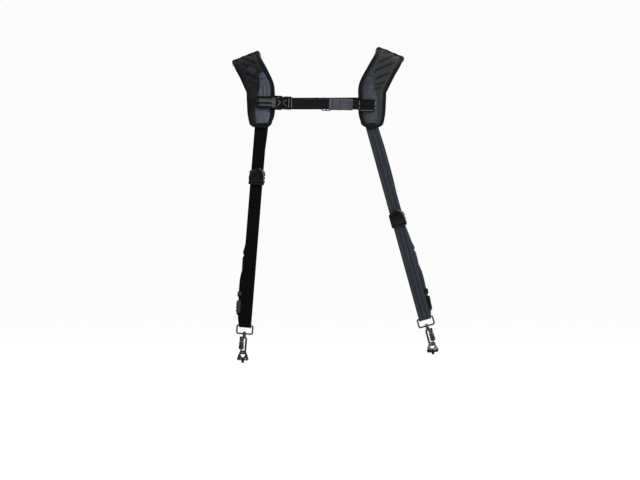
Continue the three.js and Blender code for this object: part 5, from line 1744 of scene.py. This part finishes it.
# %% Chest webbing
def chest_web(start, end, width, thick, turn):
    """Webbing between two uprights, each given as its X and the lap folded back round it, or 0."""
    up = np.array([0.0, 0.0, 1.0])
    stops = []
    for x, lap, way in ((*start, 1), (*end, -1)):
        inner = -turn + thick + GAP if lap > LONG_LAP else turn
        part = [(np.array([x + way * lap, inner, 0.0]), up)] if lap else []
        if lap > LONG_LAP:
            part.append((np.array([x + way * 6, inner, 0.0]), up))
        if lap:
            bar = np.array([x, 0.0, 0.0])
            part += half_turn(bar, np.array([0.0, turn, 0.0]), np.array([-way * turn, 0.0, 0.0]), up)
        else:
            part.append((np.array([x, -turn, 0.0]), up))
        stops.append(part)
    return ribbon(stops[0] + stops[1][::-1], width, thick)


# %% Sliders, buckle and tri-glide
def web_bar():
    return pin_bar(BAR_RADIUS, CHEST_WIDTH + 2)


def slider_shape(inward):
    window = rounded_box(SLIDER_LENGTH - 5, WEB_OPENING, 1.4)
    rim = plate([rounded_box(SLIDER_LENGTH, WEB_OPENING + 4, 2.5), window], SLIDER_DEPTH, 0.7)
    shape = Shape().join(rim, turned("X", 0, (0, SLIDER_DEPTH / 2 - BAR_RADIUS, 0)))
    face = -CHEST_TURN - CHEST_THICK / 2 - GAP - 0.8
    for level, tall in ((WEB_OPENING / 2, 4.4), (-1.4, 3.4), (-WEB_OPENING / 2, 4.4)):
        rib = plate([rounded_box(SLIDER_LENGTH - 1, tall, 1.2)], 1.6, 0.6)
        shape.join(rib, turned("X", 0, (0, face, level)))
    return shape.join(web_bar(), turned("X", 0, (-inward * SLIDER_BAR, 0, 0)))


def forked_outline(length, fork):
    """Buckle body from x = 0 to its length, with an opening for webbing fork deep in its far end."""
    top, opening, round_ = BUCKLE_HEIGHT / 2, WEB_OPENING / 2, BUCKLE_CORNER
    low = [(length, -opening), (length - fork, -opening), (length - fork, opening), (length, opening)]
    arc = np.linspace(0, math.pi / 2, 6)
    upper = [(length - round_ + round_ * math.cos(a), top - round_ + round_ * math.sin(a)) for a in arc]
    lower = [(x, -z) for x, z in upper[::-1]]
    far_upper = [(length - x, z) for x, z in upper[::-1]]
    far_lower = [(x, -z) for x, z in far_upper[::-1]]
    return far_lower + lower + low + upper + far_upper


def male_shape():
    """Frame with a webbing bar, two round windows, crossed ribs and two prongs, from x = 0."""
    fork = BAR_INSET + 2 * BAR_RADIUS + 3.6
    outline = [(MALE_LENGTH - x, z) for x, z in forked_outline(MALE_LENGTH, fork)]
    windows = [circle(2.2, MALE_LENGTH / 2 + 0.5, level) for level in (-9, 9)]
    shape = plate([outline] + windows, 6, 1.1)
    shape.join(web_bar(), turned("X", 0, (BAR_RADIUS + BAR_INSET, 0, 0)))
    for lean in (34, -34):
        rib = plate([rounded_box(2, 13, 0.9)], 1.6, 0.5)
        shape.join(rib, turned("Y", lean, (MALE_LENGTH - 5.6, -2.7, 0)))
    for end in (1, -1):
        prong = plate([rounded_box(14, 3.6, 1.4, MALE_LENGTH + 5, end * 6.6)], 3, 0.6)
        shape.join(prong)
    return shape


def female_shape():
    """Housing of two shells round a hollow for the prongs, with a three-cornered window, from x = 0."""
    fork = BAR_INSET + 2 * BAR_RADIUS + 3.6
    body = forked_outline(FEMALE_LENGTH, fork)
    window = [(0.8, -0.4), (6.8, -5.2), (6.8, 5.2), (0.8, 0.4)]
    shape = Shape()
    for end in (1, -1):
        shape.join(plate([body, window], 2.3, 0.5), turned("X", 0, (0, end * 2.85, 0)))
    rims = rounded_box(FEMALE_LENGTH - 1, 3.4, 0.8, FEMALE_LENGTH / 2, 0)
    for end in (1, -1):
        shape.join(plate([rims], 4, 0.3), turned("X", 0, (0, 0, end * (BUCKLE_HEIGHT / 2 - 2.2))))
    spine = rounded_box(3, WEB_OPENING, 0.6, FEMALE_LENGTH - fork - 1.8, 0)
    shape.join(plate([spine], 4, 0.3))
    return shape.join(web_bar(), turned("X", 0, (FEMALE_LENGTH - BAR_RADIUS - BAR_INSET, 0, 0)))


def triglide_shape():
    wide, tall = TRIGLIDE_PITCH - TRIGLIDE_BAR, ELASTIC_WIDTH + 2 * GAP
    slots = [rounded_box(wide, tall, 1, end * TRIGLIDE_PITCH / 2) for end in (1, -1)]
    return plate([rounded_box(2 * TRIGLIDE_PITCH + TRIGLIDE_BAR, 27, 3)] + slots, 2, 0.7)


# %% Chest strap pieces
male_bar = MALE_START + BAR_RADIUS + BAR_INSET
female_bar = FEMALE_START + FEMALE_LENGTH - BAR_RADIUS - BAR_INSET
thin = (CHEST_WIDTH, CHEST_THICK, CHEST_TURN)
stretchy = (ELASTIC_WIDTH, ELASTIC_THICK, ELASTIC_TURN)
far_bar = CHEST_SPAN + SLIDER_BAR
CHEST_WEBS = [
    ("chest_web_right", (-SLIDER_BAR, 7), (male_bar, 3), thin, GLOSS_AND_HIGHLIGHT_WEBBING, "webbing", "sternum_web_right"),
    ("chest_web_middle", (female_bar, 24), (GLIDE_AT, 6), thin, CHEST_WEBBING, "webbing", "sternum_web_middle"),
    ("chest_elastic", (GLIDE_AT + TRIGLIDE_PITCH, 22), (ELASTIC_END, 0), stretchy,
     ELASTIC, "soft_webbing", "sternum_elastic"),
    ("chest_web_left", (ELASTIC_END + GAP, 0), (far_bar, 7), thin, CHEST_WEBBING, "webbing", "sternum_web_left"),
]
for name, start, end, sizes, material, slot, node in CHEST_WEBS:
    web = chest_web(start, end, *sizes)
    make_piece(name, web, material, stands_for=[node], matrix=CHEST, smooth=50)
CHEST_PARTS = [
    ("slider_right", slider_shape(1), 0, "sternum_slider_right"),
    ("slider_left", slider_shape(-1), CHEST_SPAN, "sternum_slider_left"),
    ("buckle_tongue", male_shape(), MALE_START, "buckle_male"),
    ("buckle_housing", female_shape(), FEMALE_START, "buckle_female"),
    ("triglide", triglide_shape(), GLIDE_AT, "sternum_triglide"),
]
over = -ELASTIC_TURN - ELASTIC_THICK / 2 - 0.5
post, foot = SLIDER_LENGTH / 2 - 1.2, -WEB_OPENING / 2 - 0.9
# Pale beads on the sliders, tri-glide, buckle and tongue: painted highlights along their edges and crossed ribs.
CHEST_HIGHLIGHT_BEADS = [
    ("slider_highlights", CHEST_SPAN, [[(post, -3.6, -8), (post, -3.6, 8)], [(-post, -3.6, -8), (-post, -3.6, 8)],
                                  [(-13, -5.2, foot), (13, -5.2, foot)]]),
    ("triglide_highlight", GLIDE_AT, [[(TRIGLIDE_PITCH, -0.5, -13), (TRIGLIDE_PITCH, over, -12.4), (TRIGLIDE_PITCH, over, 12.4),
                                  (TRIGLIDE_PITCH, -0.5, 13)]]),
    ("buckle_highlights", FEMALE_START, [[(12, -4.1, -9), (12, -4.1, 9)], [(17.6, -4.1, -10), (17.6, -4.1, 10)],
                                      [(0.6, -4.1, 0.9), (7.6, -4.1, 6.4)], [(0.6, -4.1, -0.9), (7.6, -4.1, -6.4)]]),
    ("tongue_highlights", MALE_START, [[(9, -3.2, 6), (15, -4.2, -1)], [(9, -3.2, -6), (15, -4.2, 1)]]),
]
for name, x, runs in CHEST_HIGHLIGHT_BEADS:
    add_highlight_beads(name, runs, 0.65, "root", CHEST @ turned("X", 0, (x, 0, 0)))
for name, shape, x, node in CHEST_PARTS:
    made = make_hard(name, shape, PLASTIC, "root", node, CHEST @ turned("X", 0, (x, 0, 0)))
    print(made.name, len(made.data.polygons), "faces")

# %% [markdown]
# ## Tapes, badge and stitches
# A broad tape crosses each pad on the shoulder's ridge and folds round both edges. The badge on one pad
# is bare, with a raised rim. Thread is modelled as it is: a short round stitch, repeated along each seam,
# because a seam drawn in a material has no depth at its edges. Rows of stitches are joined in one mesh.

# %% Ridge tape
RIDGE_AT = 0.53
RIDGE_WIDTH = 8
RIDGE_THICK = 1.3
BINDING_TOP = RIM_THICK / 2 + TAPE_THICK + 0.3


def ridge_shape(side):
    at = pad_frame(side, RIDGE_AT)
    edge = at.half + 2.7
    wide = at.half - TAPE_FRONT
    middle = [on_pad(side, at, across, RIDGE_THICK / 2 + 0.2) for across in np.linspace(wide - 3, 3 - wide, 9)]
    stops = [(pad_point(at, edge, -4), at.tangent), (pad_point(at, edge, 1), at.tangent)]
    stops.append((pad_point(at, at.half, BINDING_TOP + RIDGE_THICK), at.tangent))
    stops += [(point, at.tangent) for point in middle]
    stops.append((pad_point(at, -at.half, BINDING_TOP + RIDGE_THICK), at.tangent))
    stops += [(pad_point(at, -edge, 1), at.tangent), (pad_point(at, -edge, -4), at.tangent)]
    return ribbon(stops, RIDGE_WIDTH, RIDGE_THICK)


for side in SIDES:
    ridge = make_piece(f"ridge_tape_{side.name}", ridge_shape(side), TAPE, smooth=50)
    print(ridge.name, len(ridge.data.polygons), "faces")


# %% Badge
BADGE_AT = 0.41
BADGE_WIDTH = 13
BADGE_LENGTH = 22
BADGE_TURN = -28


def badge_shape():
    edge = rounded_box(BADGE_WIDTH, BADGE_LENGTH, 2)
    rim = plate([edge, rounded_box(BADGE_WIDTH - 2.4, BADGE_LENGTH - 2.4, 1.2)], 1.6, 0.35)
    return rim.join(plate([rounded_box(BADGE_WIDTH - 0.6, BADGE_LENGTH - 0.6, 1.8)], 0.9, 0.3))


def badge_seat(side):
    at = pad_frame(side, BADGE_AT)
    reach = np.linspace(-0.5, 0.5, 3) * BADGE_WIDTH
    foot = max(float((on_pad(side, at, across, 0) - at.middle) @ at.normal) for across in reach)
    seat = seat_on(pad_point(at, 0, foot + 0.6), at.outward * side.sign, at.tangent)
    return seat @ turned("Y", BADGE_TURN)


make_hard("badge", badge_shape(), BADGE, "root", "pad_badge", badge_seat(SIDES[0]))


# %% Stitches
STITCH = 2.4
STITCH_RADIUS = 0.3


def stitch_row(places, length=STITCH):
    """Short round stitches, one for each point with its direction."""
    row = Shape()
    angles = np.arange(6) * math.pi / 3
    for point, way in places:
        way = unit(way)
        side_way = unit(np.cross(way, [0.3, 0.5, 0.81]))
        up = np.cross(side_way, way)
        rim = np.outer(np.cos(angles), side_way) + np.outer(np.sin(angles), up)
        rings = [
            point + along * length / 2 * way + radius * STITCH_RADIUS * rim
            for along, radius in ((-1, 0.3), (-0.7, 1), (0.7, 1), (1, 0.3))
        ]
        row.join(loft(rings))
    return row


def rim_seam(side):
    """Seam along the binding, a set distance in from its edge."""
    stops = rim_stops(side)
    points = np.array([point - 3.3 * outward + BINDING_SEAM * level for point, outward, level in stops])
    points = np.vstack([points, points[:1]])
    runs = np.concatenate([[0], np.cumsum(np.linalg.norm(np.diff(points, axis=0), axis=1))])
    count = round(runs[-1] / (STITCH + 1.1))
    stitch_ends = np.arange(count + 1) * runs[-1] / count
    spots = np.column_stack([np.interp(stitch_ends, runs, points[:, k]) for k in range(3)])
    return [((a + b) / 2, b - a) for a, b in zip(spots[:-1], spots[1:])]


def tack_seam(side, level):
    """Bar tack across a front panel at a height: close stitches along the pad."""
    run = run_at_level(side, level)
    share = share_at(side, run)
    at = pad_frame(side, share)
    row = float(np.interp(share * PAD_STEPS, PANEL_COLUMNS[side.name]["step"], np.linspace(0, 1, 8)))
    inner = -float(spline(PANEL_COLUMNS[side.name]["inner"], row)) * at.half
    outer = float(spline(PANEL_COLUMNS[side.name]["outer"], row)) * at.half
    return [
        (on_pad(side, at, across, PANEL_THICK + 0.5), at.tangent)
        for across in np.arange(inner + 1, outer - 1, 0.9)
    ]


def chest_tack(x, width, y):
    levels = np.arange(1 - width / 2, width / 2 - 0.9, 0.95)
    return [(np.array([x, y, z]), np.array([1.0, 0, 0])) for z in levels]


BINDING_SEAM = RIM_THICK / 2 + 0.1 + TAPE_THICK + 0.2
for side in SIDES:
    make_piece(f"rim_seam_{side.name}", stitch_row(rim_seam(side)), THREAD, smooth=80)
    tacks = stitch_row([place for level in TACKS[side.name] for place in tack_seam(side, level)], 2.0)
    make_piece(f"panel_tacks_{side.name}", tacks, TAPE, smooth=80)
    print(side.name, "seam and tacks")
elastic_face = -ELASTIC_TURN - ELASTIC_THICK / 2 - 0.1
elastic_start = GLIDE_AT + TRIGLIDE_PITCH
seams = chest_tack(elastic_start + 4, ELASTIC_WIDTH, elastic_face)
seams += chest_tack(elastic_start + 19, ELASTIC_WIDTH, elastic_face)
seams += chest_tack(ELASTIC_END - 2, CHEST_WIDTH, elastic_face)
seams += chest_tack(ELASTIC_END - 6, CHEST_WIDTH, elastic_face)
make_piece("chest_seams", stitch_row(seams, 1.8), THREAD, matrix=CHEST, smooth=80)

# %% Measure the two boxes and finish
low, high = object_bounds()
sizes = {"cad": [list(cad_low), list(cad_high)], "visual": [list(low), list(high)]}
print("visual box", [round(v, 4) for v in low], [round(v, 4) for v in high])
